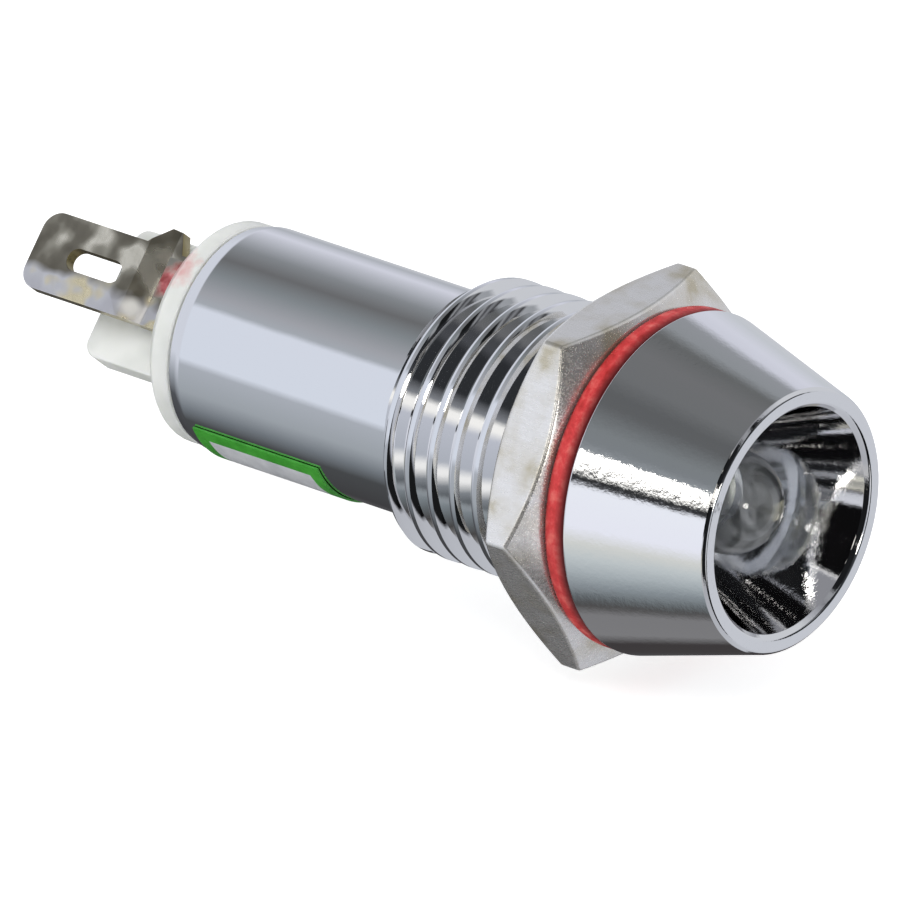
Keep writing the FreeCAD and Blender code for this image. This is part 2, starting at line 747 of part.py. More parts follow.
def make_plug():
    """Mould the end plug: a shank in the bore, a flange and the wall between the lugs."""
    body = new_body("end_plug", s.terminal_roll)
    flange = s.plug_flange_dia / 2
    turn(body, "shank_and_flange", [
        (0, PLUG_FRONT),
        (LINING, PLUG_FRONT),
        (LINING, BARREL_REAR),
        (flange, BARREL_REAR),
        (flange, FLANGE_REAR),
        (0, FLANGE_REAR),
    ])
    break_edges(body, "flange_edge", ring_at(flange, FLANGE_REAR), s.plug_flange_break)
    half = s.wall_width / 2
    wall_end = FLANGE_REAR - s.wall_height
    pad(body, "dividing_wall", "YZ_Plane", [
        (-half, wall_end),
        (half, wall_end),
        (half, FLANGE_REAR),
        (-half, FLANGE_REAR),
    ], s.wall_thickness)
    round_edges(body, "wall_corners", crossing_at(half, wall_end), s.wall_corner)
    slots = new_sketch(body, "lug_slots_outline", "XY_Plane")
    reach_x = s.lug_thickness / 2 + s.press_gap
    reach_y = s.tail_width / 2 + s.press_gap
    for place in (TAIL_PLACE, -TAIL_PLACE):
        draw(slots, [
            (place - reach_x, -reach_y),
            (place + reach_x, -reach_y),
            (place + reach_x, reach_y),
            (place - reach_x, reach_y),
        ])
    pocket(body, "lug_slots", slots, -PAST * FLANGE_REAR)
    return body


def crossing_at(y, z):
    """Give a test for the straight edges along X at plus or minus a Y and at a height."""

    def wanted(edge):
        if not runs_across(edge):
            return False
        middle = edge.CenterOfMass
        return abs(abs(middle.y) - number(y)) < NEAR and abs(middle.z - number(z)) < NEAR

    return wanted


def make_lug(name, side, length, slot_length, slot_inset):
    """Stamp and bend one solder lug: tail, root with its ear, two bends and a slotted blade."""
    body = new_body(name, s.terminal_roll)
    half = s.lug_thickness / 2
    slope = s.joggle_step / s.joggle_length
    lean = half * (square_root(1 + slope * slope) - 1) / slope
    first_bend = FLANGE_REAR - s.root_straight
    second_bend = first_bend - s.joggle_length
    tip = FLANGE_REAR - length
    outer = TAIL_PLACE + s.joggle_step
    profile = [
        (TAIL_PLACE + half, TAIL_TIP),
        (TAIL_PLACE - half, TAIL_TIP),
        (TAIL_PLACE - half, first_bend - lean),
        (outer - half, second_bend - lean),
        (outer - half, tip),
        (outer + half, tip),
        (outer + half, second_bend + lean),
        (TAIL_PLACE + half, first_bend + lean),
    ]
    pad(body, "bent_sheet", "XZ_Plane", [(side * x, z) for x, z in profile], PAST * s.root_width)
    blade_low = -s.blade_offset - s.blade_width / 2
    blade_high = -s.blade_offset + s.blade_width / 2
    root_low = -s.root_offset - s.root_width / 2
    root_high = -s.root_offset + s.root_width / 2
    tail = s.tail_width / 2
    ear_low = root_low - s.ear_reach
    ear_rear = FLANGE_REAR - s.ear_rear
    ear_end = FLANGE_REAR - s.ear_end
    beyond = PAST * s.root_width
    trim = new_sketch(body, "trim_outline", "YZ_Plane")
    draw(trim, [
        (-beyond, tip - length),
        (beyond, tip - length),
        (beyond, TAIL_TIP + length),
        (-beyond, TAIL_TIP + length),
    ])
    draw(trim, [
        (blade_low, tip),
        (blade_high, tip),
        (blade_high, ear_end),
        (root_high, ear_rear),
        (root_high, FLANGE_REAR),
        (tail, FLANGE_REAR),
        (tail, TAIL_TIP),
        (-tail, TAIL_TIP),
        (-tail, FLANGE_REAR),
        (root_low, FLANGE_REAR),
        (root_low, FLANGE_REAR - s.ear_start),
        (ear_low, FLANGE_REAR - s.ear_front),
        (ear_low, ear_rear),
        (blade_low, ear_end),
    ])
    pocket(body, "trim", trim, PAST * s.lead_spacing)
    slot = new_sketch(body, "slot_outline", "YZ_Plane")
    slot_end = tip + slot_inset + s.slot_width / 2
    draw_slot(slot, -s.blade_offset, slot_end, slot_length - s.slot_width, s.slot_width / 2)
    pocket(body, "wire_slot", slot, PAST * s.lead_spacing)
    round_edges(body, "blade_corners", blade_corner(blade_low, blade_high, tip), s.blade_corner)
    return body


def blade_corner(low, high, z):
    """Give a test for the straight edges along X at the two corners of a blade's tip."""

    def wanted(edge):
        if not runs_across(edge):
            return False
        middle = edge.CenterOfMass
        at_side = min(abs(middle.y - number(low)), abs(middle.y - number(high))) < NEAR
        return at_side and abs(middle.z - number(z)) < NEAR

    return wanted


def draw_slot(sketch, x, low, straight, radius):
    """Draw an upright slot with round ends: a centre, a straight length and an end radius."""
    high = low + straight
    left = number(x - radius)
    right = number(x + radius)
    upright = Vector(0, 0, 1)
    low_centre = Vector(number(x), number(low), 0)
    high_centre = Vector(number(x), number(high), 0)
    low_end = Part.ArcOfCircle(Part.Circle(low_centre, upright, number(radius)), math.pi, 2 * math.pi)
    high_end = Part.ArcOfCircle(Part.Circle(high_centre, upright, number(radius)), 0, math.pi)
    first = sketch.addGeometry(low_end, False)
    low_right = Vector(right, low_centre.y, 0)
    high_right = Vector(right, high_centre.y, 0)
    low_left = Vector(left, low_centre.y, 0)
    high_left = Vector(left, high_centre.y, 0)
    sketch.addGeometry(Part.LineSegment(low_right, high_right), False)
    sketch.addGeometry(high_end, False)
    last = sketch.addGeometry(Part.LineSegment(high_left, low_left), False)
    curves = last + 1 - first
    for step in range(curves):
        following = first + (step + 1) % curves
        sketch.addConstraint(Sketcher.Constraint("Coincident", first + step, 2, following, 1))
    hold(sketch, first, 3, x, low)
    hold(sketch, first + 2, 3, x, high)
    hold(sketch, first + 1, 1, x + radius, low)
    hold(sketch, first + 1, 2, x + radius, high)
    hold(sketch, first + 3, 1, None, high)
    hold(sketch, first + 3, 2, None, low)


def make_mark():
    """Make the film of paint that marks the positive lug at its root."""
    body = new_body("polarity_mark", s.terminal_roll)
    face = TAIL_PLACE + s.lug_thickness / 2
    sketch = new_sketch(body, "paint_outline", "XZ_Plane")
    sketch.setExpression("AttachmentOffset.Base.z", wording(s.mark_offset))
    start = FLANGE_REAR - s.mark_inset
    draw(sketch, [
        (face, start - s.mark_length),
        (face + s.mark_thickness, start - s.mark_length),
        (face + s.mark_thickness, start),
        (face, start),
    ])
    feature = body.newObject("PartDesign::Pad", "paint")
    feature.Profile = sketch
    feature.Midplane = True
    bind(feature, "Length", s.mark_width)
    return body


def make_label():
    """Wrap the label round the barrel, with its blank field let into the coloured border."""
    inner = s.barrel_dia / 2 + s.press_gap
    outer = inner + s.label_thickness
    border_angle = s.label_border / outer * DEGREES_IN_RADIAN
    front = -s.label_start
    rear = front - s.label_length
    wrap = wrapped_sheet("label_sheet", s.label_edge, s.label_angle, inner, outer, front, rear)
    field = wrapped_sheet(
        "label_field", s.label_edge + border_angle, s.label_angle - 2 * border_angle,
        outer - s.label_field_inset, outer, front - s.label_border, rear + s.label_border,
    )
    label = doc.addObject("Part::Cut", "rating_label")
    label.Label = "rating_label"
    label.Base = wrap
    label.Tool = field
    return [label, field]


def wrapped_sheet(name, roll, angle, inner, outer, front, rear):
    """Turn a thin sheet part of the way round the axis, starting at a roll angle."""
    body = new_body(name, roll)
    sketch = new_sketch(body, f"{name}_section", "XZ_Plane")
    draw(sketch, [(inner, rear), (outer, rear), (outer, front), (inner, front)])
    feature = turn_sketch(body, f"{name}_wrap", sketch)
    bind(feature, "Angle", angle)
    return body


def export(pieces):
    """Check the whole document and each piece, then write one file for each piece."""
    doc.recompute()
    for item in doc.Objects:
        if "Invalid" in item.State or "Error" in item.State:
            raise RuntimeError(f"{item.Label} did not compute: {item.State}")
    os.makedirs("parts", exist_ok=True)
    for piece in pieces:
        shape = piece.Shape
        if shape.isNull() or not shape.isValid() or not shape.Solids:
            raise RuntimeError(f"{piece.Label} has no valid solid")
        shape.exportStep(f"parts/{piece.Label}.step")
        print(f"{piece.Label}: {shape.Volume:.3f} mm3 in {len(shape.Solids)} solid")


cathode_frame = make_cathode_frame()
anode_post = make_anode_post()
die = make_die()
positive_lug = make_lug("positive_lug", 1, s.lug_length, s.slot_length, s.slot_inset)
negative_lug = make_lug(
    "negative_lug", -1, s.short_lug_length, s.short_slot_length, s.short_slot_inset,
)
export([
    make_lamp_body(),
    make_gasket(),
    make_nut(),
    make_lens([cathode_frame, anode_post, die]),
    cathode_frame,
    anode_post,
    die,
    make_collar(),
    make_tube(),
    make_plug(),
    positive_lug,
    negative_lug,
    make_mark(),
    *make_wiring(cathode_frame, anode_post, positive_lug, negative_lug),
    *make_label(),
])
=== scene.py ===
# %% [markdown]
# # Dressing a panel pilot light
#
# The lamp is a chrome-plated turned body with a recessed clear lens, a red sealing
# gasket, a nickel-plated hex nut on an 8 mm thread, and a nylon end plug that carries
# two solder lugs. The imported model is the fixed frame: it says where each piece is.
# This lesson gives every visible surface the form and finish of the real one.

# %% Load the fixed frame
import math

import bmesh
import bpy
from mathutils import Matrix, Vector


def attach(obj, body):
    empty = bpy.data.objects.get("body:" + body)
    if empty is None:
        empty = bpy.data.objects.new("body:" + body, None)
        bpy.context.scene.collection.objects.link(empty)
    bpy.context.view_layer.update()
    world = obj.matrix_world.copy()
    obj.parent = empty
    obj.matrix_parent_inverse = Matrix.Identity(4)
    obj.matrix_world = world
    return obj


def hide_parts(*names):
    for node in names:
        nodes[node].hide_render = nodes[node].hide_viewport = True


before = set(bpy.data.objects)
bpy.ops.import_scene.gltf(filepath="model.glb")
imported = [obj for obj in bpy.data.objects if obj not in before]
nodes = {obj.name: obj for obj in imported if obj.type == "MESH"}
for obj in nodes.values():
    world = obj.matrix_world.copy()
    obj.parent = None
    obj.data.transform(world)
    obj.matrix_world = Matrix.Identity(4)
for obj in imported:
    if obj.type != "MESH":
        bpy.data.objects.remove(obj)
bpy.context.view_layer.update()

# %% [markdown]
# ## Sizes and small helpers
#
# All sizes below are in millimetres, as on a workshop drawing, and are turned to
# Blender's metres in one place. The lamp's axis lies along Y, with the lens looking
# along -Y, so a height in front of the panel seat is a negative Y. Patterns read the
# place on the piece in millimetres too, so a noise of scale 2 has blots that are about
# half a millimetre wide.

# %% Millimetres, colours and nodes
MM = 0.001
FULL_TURN = 2 * math.pi
# A Mix node has sockets for every type of value. These are the colour ones.
SHARE, FIRST, SECOND, MIXED = 0, 6, 7, 2


def paint(code):
    """Turn a six-figure sRGB colour code into Blender's linear colour."""
    levels = [int(code[place:place + 2], 16) / 255 for place in (0, 2, 4)]
    linear = [v / 12.92 if v <= 0.04045 else ((v + 0.055) / 1.055) ** 2.4 for v in levels]
    return (*linear, 1.0)


def add(tree, kind, inputs=None, **settings):
    """Add a node, set it up, and fill its inputs, by name or place, with values or links."""
    node = tree.nodes.new(kind)
    for name, value in settings.items():
        setattr(node, name, value)
    for name, value in (inputs or {}).items():
        if isinstance(value, bpy.types.NodeSocket):
            tree.links.new(value, node.inputs[name])
        else:
            node.inputs[name].default_value = value
    return node


def set_stops(ramp, stops):
    """Fill a colour ramp with (position, colour code) stops."""
    marks = ramp.color_ramp.elements
    while len(marks) < len(stops):
        marks.new(1.0)
    for mark, (place, code) in zip(marks, stops):
        mark.position = place
        mark.color = paint(code)
    return ramp


def new_finish(name, **shader_values):
    """Start a material: its tree, its shader and the piece's own coordinates in mm."""
    finish = bpy.data.materials.new(name)
    finish.use_nodes = True
    tree = finish.node_tree
    shader = next(node for node in tree.nodes if node.type == "BSDF_PRINCIPLED")
    for socket, value in shader_values.items():
        shader.inputs[socket.replace("_", " ")].default_value = value
    own = add(tree, "ShaderNodeTexCoord").outputs["Object"]
    scaled = add(tree, "ShaderNodeMapping", {"Vector": own, "Scale": (1 / MM, 1 / MM, 1 / MM)})
    return finish, tree, shader, scaled.outputs["Vector"]


print("white is", paint("ffffff"), "and mid grey is", round(paint("808080")[0], 3))

# %% [markdown]
# ## Chrome plate
#
# Bright chrome over turned brass. It has almost no colour of its own and a very low
# roughness, so what the eye sees is the studio. A faint orange-peel bump, about 2 mm
# from wave to wave, breaks the straight edges of the reflections. Pin-prick specks of
# 0.1 mm lie all over it, and one rubbed line along the head is pitted with coarser blots.

# %% Chrome plate
chrome, tree, shader, place = new_finish("bright_chrome_plate", Metallic=1.0)
shader.inputs["Base Color"].default_value = paint("ebebec")
waves = add(tree, "ShaderNodeTexNoise", {"Vector": place, "Scale": 0.45, "Detail": 2.0})
peel = add(tree, "ShaderNodeBump", {
    "Height": waves.outputs["Fac"], "Strength": 0.25, "Distance": 0.03 * MM,
})
specks = add(tree, "ShaderNodeTexNoise", {"Vector": place, "Scale": 12.0, "Detail": 3.0})
haze = add(tree, "ShaderNodeMapRange", {
    "Value": specks.outputs["Fac"],
    "From Min": 0.45, "From Max": 0.72, "To Min": 0.02, "To Max": 0.07,
})
tree.links.new(haze.outputs["Result"], shader.inputs["Roughness"])

# %% Rubbed line along the head
SCRATCH_ANGLE = math.radians(154.6)
GRIT_ALL_OVER = 0.02
across = add(tree, "ShaderNodeSeparateXYZ", {0: place}).outputs
bearing = add(tree, "ShaderNodeMath", {0: across["Z"], 1: across["X"]}, operation="ARCTAN2")
aside = add(tree, "ShaderNodeMath", {
    0: bearing.outputs[0], 1: SCRATCH_ANGLE,
}, operation="SUBTRACT")
off_line = add(tree, "ShaderNodeMath", {0: aside.outputs[0]}, operation="ABSOLUTE")
scratched = add(tree, "ShaderNodeMapRange", {
    "Value": off_line.outputs[0],
    "From Min": 0.02, "From Max": 0.07, "To Min": 0.42, "To Max": 0.08,
})
on_head = add(tree, "ShaderNodeMapRange", {
    "Value": across["Y"], "From Min": -0.2, "From Max": 0.2, "To Min": 1.0, "To Max": 0.0,
})
roughened = add(tree, "ShaderNodeMath", {
    0: scratched.outputs[0], 1: on_head.outputs[0], 2: GRIT_ALL_OVER,
}, operation="MULTIPLY_ADD")
grit = add(tree, "ShaderNodeBump", {
    "Height": specks.outputs["Fac"], "Strength": roughened.outputs[0],
    "Distance": 0.008 * MM, "Normal": peel.outputs["Normal"],
})
blots = add(tree, "ShaderNodeTexNoise", {
    "Vector": place, "Scale": 4.5, "Detail": 4.0, "Roughness": 0.6,
})
pitted = add(tree, "ShaderNodeBump", {
    "Height": blots.outputs["Fac"], "Strength": roughened.outputs[0],
    "Distance": 0.03 * MM, "Normal": grit.outputs["Normal"],
})
tree.links.new(pitted.outputs["Normal"], shader.inputs["Normal"])
print("made", chrome.name)

# %% [markdown]
# ## Nickel plate on the nut
#
# Dull nickel over milled steel. The mill leaves fine parallel lines, 0.1 mm apart and
# drawn out to 1 mm, so the bump and the roughness follow a noise that is stretched along
# the axis. Handling has left broad faint yellowish stains, about 1 mm across, and the
# plate keeps a little of its own matte light.

# %% Satin nickel
nickel, tree, shader, place = new_finish("satin_nickel_plate", Metallic=0.84)
lines = add(tree, "ShaderNodeMapping", {"Vector": place, "Scale": (5.5, 0.7, 5.5)})
milled = add(tree, "ShaderNodeTexNoise", {
    "Vector": lines.outputs["Vector"], "Scale": 1.6, "Detail": 4.0,
})
grain = add(tree, "ShaderNodeTexNoise", {"Vector": place, "Scale": 0.9, "Detail": 4.0})
tone = set_stops(add(tree, "ShaderNodeValToRGB", {"Fac": grain.outputs["Fac"]}), [
    (0.32, "cdc5b1"), (0.44, "e4e0d8"), (0.60, "efedeb"),
])
tree.links.new(tone.outputs["Color"], shader.inputs["Base Color"])
dull = add(tree, "ShaderNodeMapRange", {
    "Value": milled.outputs["Fac"],
    "From Min": 0.3, "From Max": 0.7, "To Min": 0.20, "To Max": 0.32,
})
tree.links.new(dull.outputs["Result"], shader.inputs["Roughness"])
mill_bump = add(tree, "ShaderNodeBump", {
    "Height": milled.outputs["Fac"], "Strength": 0.2, "Distance": 0.01 * MM,
})
tree.links.new(mill_bump.outputs["Normal"], shader.inputs["Normal"])
print("made", nickel.name)

# %% [markdown]
# ## Red rubber
#
# A punched washer of silicone rubber: matte, with a fine open grain under 0.1 mm and a
# mottle in spots of 0.4 mm, whose paler spots are partly painted highlights. Its two edges,
# where it meets the head and the nut, get painted shade, so the colour darkens away from an
# unshaded level between them.

# %% Red rubber
# Painted shade: the colour darkens towards the edges where the gasket meets the head and the nut.
UNSHADED_LEVEL = 0.45
rubber, tree, shader, place = new_finish("red_silicone_rubber", Roughness=0.52)
cloud = add(tree, "ShaderNodeTexNoise", {
    "Vector": place, "Scale": 2.6, "Detail": 6.0, "Roughness": 0.65,
})
# The mottle is partly the rubber's own uneven tone and partly painted highlight: its palest stop
# is the colour of the rubber's highlights.
tone = set_stops(add(tree, "ShaderNodeValToRGB", {"Fac": cloud.outputs["Fac"]}), [
    (0.32, "b3211f"), (0.50, "d4383a"), (0.70, "e87068"),
])
along = add(tree, "ShaderNodeSeparateXYZ", {0: place}).outputs["Y"]
past_unshaded = add(tree, "ShaderNodeMath", {0: along, 1: UNSHADED_LEVEL}, operation="SUBTRACT")
from_unshaded = add(tree, "ShaderNodeMath", {0: past_unshaded.outputs[0]}, operation="ABSOLUTE")
edge_shade = add(tree, "ShaderNodeMapRange", {
    "Value": from_unshaded.outputs[0],
    "From Min": 0.12, "From Max": 0.36, "To Min": 0.0, "To Max": 1.0,
})
# The painted edge shade is a dark red that is mixed in here.
edge_shaded = add(tree, "ShaderNodeMix", {
    SHARE: edge_shade.outputs["Result"], FIRST: tone.outputs["Color"], SECOND: paint("5e0b0e"),
}, data_type="RGBA")
tree.links.new(edge_shaded.outputs[MIXED], shader.inputs["Base Color"])
fine = add(tree, "ShaderNodeTexNoise", {"Vector": place, "Scale": 14.0, "Detail": 4.0})
pores = add(tree, "ShaderNodeBump", {
    "Height": fine.outputs["Fac"], "Strength": 0.5, "Distance": 0.02 * MM,
})
tree.links.new(pores.outputs["Normal"], shader.inputs["Normal"])
print("made", rubber.name)

# %% [markdown]
# ## Clear epoxy and the lead frame inside it
#
# The lens is cast epoxy with a high index, so it gathers the light of the recess. It is
# slightly cloudy in swirls of 1 mm, so a noise takes up to a quarter of its clearness
# away. The lead frame is stamped steel with a silver plate that has gone slightly yellow.

# %% Clear epoxy
epoxy, tree, shader, place = new_finish("clear_cast_epoxy", Roughness=0.01, IOR=1.54)
shader.inputs["Base Color"].default_value = paint("eef2f6")
clouds = add(tree, "ShaderNodeTexNoise", {
    "Vector": place, "Scale": 0.9, "Detail": 3.0, "Distortion": 1.2,
})
clear = add(tree, "ShaderNodeMapRange", {
    "Value": clouds.outputs["Fac"],
    "From Min": 0.40, "From Max": 0.62, "To Min": 0.76, "To Max": 0.97,
})
tree.links.new(clear.outputs["Result"], shader.inputs["Transmission Weight"])
swirl = add(tree, "ShaderNodeTexNoise", {"Vector": place, "Scale": 1.1, "Detail": 1.0})
cast = add(tree, "ShaderNodeBump", {
    "Height": swirl.outputs["Fac"], "Strength": 0.2, "Distance": 0.02 * MM,
})
tree.links.new(cast.outputs["Normal"], shader.inputs["Normal"])
print("made", epoxy.name)

# %% Silver plate and crystal
silver, tree, shader, place = new_finish("silvered_lead_frame", Metallic=1.0, Roughness=0.28)
tarnish = add(tree, "ShaderNodeTexNoise", {"Vector": place, "Scale": 2.5, "Detail": 3.0})
tone = set_stops(add(tree, "ShaderNodeValToRGB", {"Fac": tarnish.outputs["Fac"]}), [
    (0.35, "e6dfc0"), (0.65, "f8f6ee"),
])
tree.links.new(tone.outputs["Color"], shader.inputs["Base Color"])

crystal, tree, shader, place = new_finish("yellow_die_crystal", Roughness=0.3)
shader.inputs["Base Color"].default_value = paint("d8c04e")
facets = add(tree, "ShaderNodeTexNoise", {"Vector": place, "Scale": 20.0})
etched = add(tree, "ShaderNodeBump", {
    "Height": facets.outputs["Fac"], "Strength": 0.3, "Distance": 0.01 * MM,
})
tree.links.new(etched.outputs["Normal"], shader.inputs["Normal"])
print("made", silver.name, crystal.name)

# %% [markdown]
# ## Natural nylon
#
# The end plug is moulded in uncoloured nylon. Light goes a few tenths of a millimetre
# into it, so it is given subsurface scattering. Beside the lug a brush of red polarity
# paint has bled a little over the flange, and this is painted by distance from one spot.

# %% Natural nylon
SMEAR_SPOT = (-1.81, 16.3, 2.51)
nylon, tree, shader, place = new_finish("natural_nylon", Roughness=0.36, IOR=1.53)
shader.inputs["Subsurface Weight"].default_value = 0.55
shader.inputs["Subsurface Radius"].default_value = (1.0, 1.0, 0.9)
shader.inputs["Subsurface Scale"].default_value = 0.5 * MM
milky = add(tree, "ShaderNodeTexNoise", {"Vector": place, "Scale": 0.7, "Detail": 2.0})
tone = set_stops(add(tree, "ShaderNodeValToRGB", {"Fac": milky.outputs["Fac"]}), [
    (0.35, "dde0dc"), (0.65, "eff1ee"),
])
from_smear = add(tree, "ShaderNodeVectorMath", {0: place, 1: SMEAR_SPOT}, operation="DISTANCE")
strands = add(tree, "ShaderNodeTexNoise", {"Vector": place, "Scale": 3.0, "Detail": 4.0})
ragged = add(tree, "ShaderNodeMath", {
    0: strands.outputs["Fac"], 1: 0.9, 2: from_smear.outputs["Value"],
}, operation="MULTIPLY_ADD")
bleed = add(tree, "ShaderNodeMapRange", {
    "Value": ragged.outputs["Value"],
    "From Min": 1.15, "From Max": 0.60, "To Min": 0.0, "To Max": 0.7,
})
stained = add(tree, "ShaderNodeMix", {
    SHARE: bleed.outputs["Result"], FIRST: tone.outputs["Color"], SECOND: paint("d98c8c"),
}, data_type="RGBA")
tree.links.new(stained.outputs[MIXED], shader.inputs["Base Color"])
moulded = add(tree, "ShaderNodeBump", {
    "Height": milky.outputs["Fac"], "Strength": 0.25, "Distance": 0.05 * MM,
})
tree.links.new(moulded.outputs["Normal"], shader.inputs["Normal"])
print("made", nylon.name)

# %% [markdown]
# ## Tinned brass with solder stains
#
# The lugs are stamped from tin-plated brass and have been dipped by hand. Flat grey tin,
# dark bare patches, bright beads and yellow brass along the cut edges all show, so one
# noise with patches of 1 mm picks between four tones, and towards one side the blade is
# paler. The cut edges are found by which way they face. A near-white painted highlight lies
# on the bend, and a second noise makes beads of 0.4 mm stand up.

# %% Tones of the tin
SHEET_ROLL = math.radians(139.8)
SHEET_FACING = (math.cos(SHEET_ROLL), 0.0, math.sin(SHEET_ROLL))
SHEET_ACROSS = (-math.sin(SHEET_ROLL), 0.0, math.cos(SHEET_ROLL))
lug_tin, tree, shader, place = new_finish("tinned_brass")
patches = add(tree, "ShaderNodeTexNoise", {
    "Vector": place, "Scale": 1.05, "Detail": 1.6, "Roughness": 0.45,
})
tone = set_stops(add(tree, "ShaderNodeValToRGB", {"Fac": patches.outputs["Fac"]}), [
    (0.36, "6f6a5e"), (0.50, "878275"), (0.58, "b3ae9f"), (0.66, "ece6d6"),
])
breadth = add(tree, "ShaderNodeVectorMath", {0: place, 1: SHEET_ACROSS}, operation="DOT_PRODUCT")
uneven = add(tree, "ShaderNodeMath", {
    0: patches.outputs["Fac"], 1: 1.1, 2: breadth.outputs["Value"],
}, operation="MULTIPLY_ADD")
# Towards one side of the blade the tin is paler: a second ramp of near-white tones is mixed in
# there.
paler_side = add(tree, "ShaderNodeMapRange", {
    "Value": uneven.outputs[0],
    "From Min": 0.55, "From Max": 0.85, "To Min": 0.0, "To Max": 0.8,
})
paler_side_tone = set_stops(add(tree, "ShaderNodeValToRGB", {"Fac": patches.outputs["Fac"]}), [
    (0.42, "eeedf3"), (0.52, "f4f3f6"), (0.60, "fff1c8"),
])
blade = add(tree, "ShaderNodeMix", {
    SHARE: paler_side.outputs["Result"], FIRST: tone.outputs["Color"],
    SECOND: paler_side_tone.outputs["Color"],
}, data_type="RGBA")

# %% Brass along the cut edges
outward = add(tree, "ShaderNodeTexCoord").outputs["Normal"]
leaning = add(tree, "ShaderNodeVectorMath", {0: outward, 1: SHEET_FACING}, operation="DOT_PRODUCT")
facing = add(tree, "ShaderNodeMath", {0: leaning.outputs["Value"]}, operation="ABSOLUTE")
cut_edge = add(tree, "ShaderNodeMapRange", {
    "Value": facing.outputs[0],
    "From Min": 0.45, "From Max": 0.75, "To Min": 0.75, "To Max": 0.0,
})
edged = add(tree, "ShaderNodeMix", {
    SHARE: cut_edge.outputs["Result"], FIRST: blade.outputs[MIXED], SECOND: paint("978a5c"),
}, data_type="RGBA")

# %% Painted highlight on the bend, dullness and beads
# Painted highlight: a near-white, less metallic patch round one spot on the bend stands in for the
# shine of its facet.
HIGHLIGHT_SPOT = (-1.30, 18.55, 0.36)
from_highlight_spot = add(tree, "ShaderNodeVectorMath", {0: place, 1: HIGHLIGHT_SPOT}, operation="DISTANCE")
ragged = add(tree, "ShaderNodeMath", {
    0: patches.outputs["Fac"], 1: 1.2, 2: from_highlight_spot.outputs["Value"],
}, operation="MULTIPLY_ADD")
painted_highlight = add(tree, "ShaderNodeMapRange", {
    "Value": ragged.outputs[0],
    "From Min": 1.05, "From Max": 0.70, "To Min": 0.0, "To Max": 1.0,
})
# The painted highlight's near-white colour is mixed into the tin here.
tin_and_highlight = add(tree, "ShaderNodeMix", {
    SHARE: painted_highlight.outputs["Result"], FIRST: edged.outputs[MIXED], SECOND: paint("fbf9f4"),
}, data_type="RGBA")
tree.links.new(tin_and_highlight.outputs[MIXED], shader.inputs["Base Color"])
bright = add(tree, "ShaderNodeMapRange", {
    "Value": painted_highlight.outputs["Result"], "To Min": 0.88, "To Max": 0.6,
})
tree.links.new(bright.outputs["Result"], shader.inputs["Metallic"])
dull = add(tree, "ShaderNodeMapRange", {
    "Value": patches.outputs["Fac"],
    "From Min": 0.4, "From Max": 0.65, "To Min": 0.40, "To Max": 0.24,
})
tree.links.new(dull.outputs["Result"], shader.inputs["Roughness"])
beads = add(tree, "ShaderNodeTexNoise", {"Vector": place, "Scale": 2.4, "Detail": 2.0})
rough_tin = add(tree, "ShaderNodeBump", {
    "Height": beads.outputs["Fac"], "Strength": 0.2, "Distance": 0.05 * MM,
})
tree.links.new(rough_tin.outputs["Normal"], shader.inputs["Normal"])
print("made", lug_tin.name)

# %% [markdown]
# ## Paint of the polarity mark
#
# The red mark on the near lug is brushed on thinly, in strokes of a third of a
# millimetre. Away from its middle the bare metal shows through, so colour, metal and
# gloss all follow the distance from one spot.

# %% Brushed red paint
MARK_SPOT = (-0.38, 17.75, 1.17)
mark_paint, tree, shader, place = new_finish("brushed_red_paint")
strokes = add(tree, "ShaderNodeTexNoise", {"Vector": place, "Scale": 3.0, "Detail": 3.0})
tone = set_stops(add(tree, "ShaderNodeValToRGB", {"Fac": strokes.outputs["Fac"]}), [
    (0.36, "8e3c3e"), (0.52, "b86468"), (0.68, "cf9a98"),
])
from_mark = add(tree, "ShaderNodeVectorMath", {0: place, 1: MARK_SPOT}, operation="DISTANCE")
worn = add(tree, "ShaderNodeMath", {
    0: strokes.outputs["Fac"], 1: 0.7, 2: from_mark.outputs["Value"],
}, operation="MULTIPLY_ADD")
bare = add(tree, "ShaderNodeMapRange", {
    "Value": worn.outputs[0], "From Min": 0.70, "From Max": 0.98,
})
coat = add(tree, "ShaderNodeMix", {
    SHARE: bare.outputs["Result"], FIRST: tone.outputs["Color"], SECOND: paint("aca89c"),
}, data_type="RGBA")
tree.links.new(coat.outputs[MIXED], shader.inputs["Base Color"])
tree.links.new(bare.outputs["Result"], shader.inputs["Metallic"])
gloss = add(tree, "ShaderNodeMapRange", {
    "Value": bare.outputs["Result"], "To Min": 0.5, "To Max": 0.32,
})
tree.links.new(gloss.outputs["Result"], shader.inputs["Roughness"])
film = add(tree, "ShaderNodeBump", {
    "Height": strokes.outputs["Fac"], "Strength": 0.4, "Distance": 0.02 * MM,
})
tree.links.new(film.outputs["Normal"], shader.inputs["Normal"])
print("made", mark_paint.name)

# %% [markdown]
# ## Printed label
#
# A glossy film with a green border round a blank pale field. The print has a slight
# mottle, half a millimetre wide, and the field is left empty.

# %% Label inks
green_ink, tree, shader, place = new_finish("green_printed_film", Roughness=0.28)
mottle = add(tree, "ShaderNodeTexNoise", {"Vector": place, "Scale": 2.0, "Detail": 4.0})
tone = set_stops(add(tree, "ShaderNodeValToRGB", {"Fac": mottle.outputs["Fac"]}), [
    (0.35, "369a26"), (0.65, "46ac36"),
])
tree.links.new(tone.outputs["Color"], shader.inputs["Base Color"])

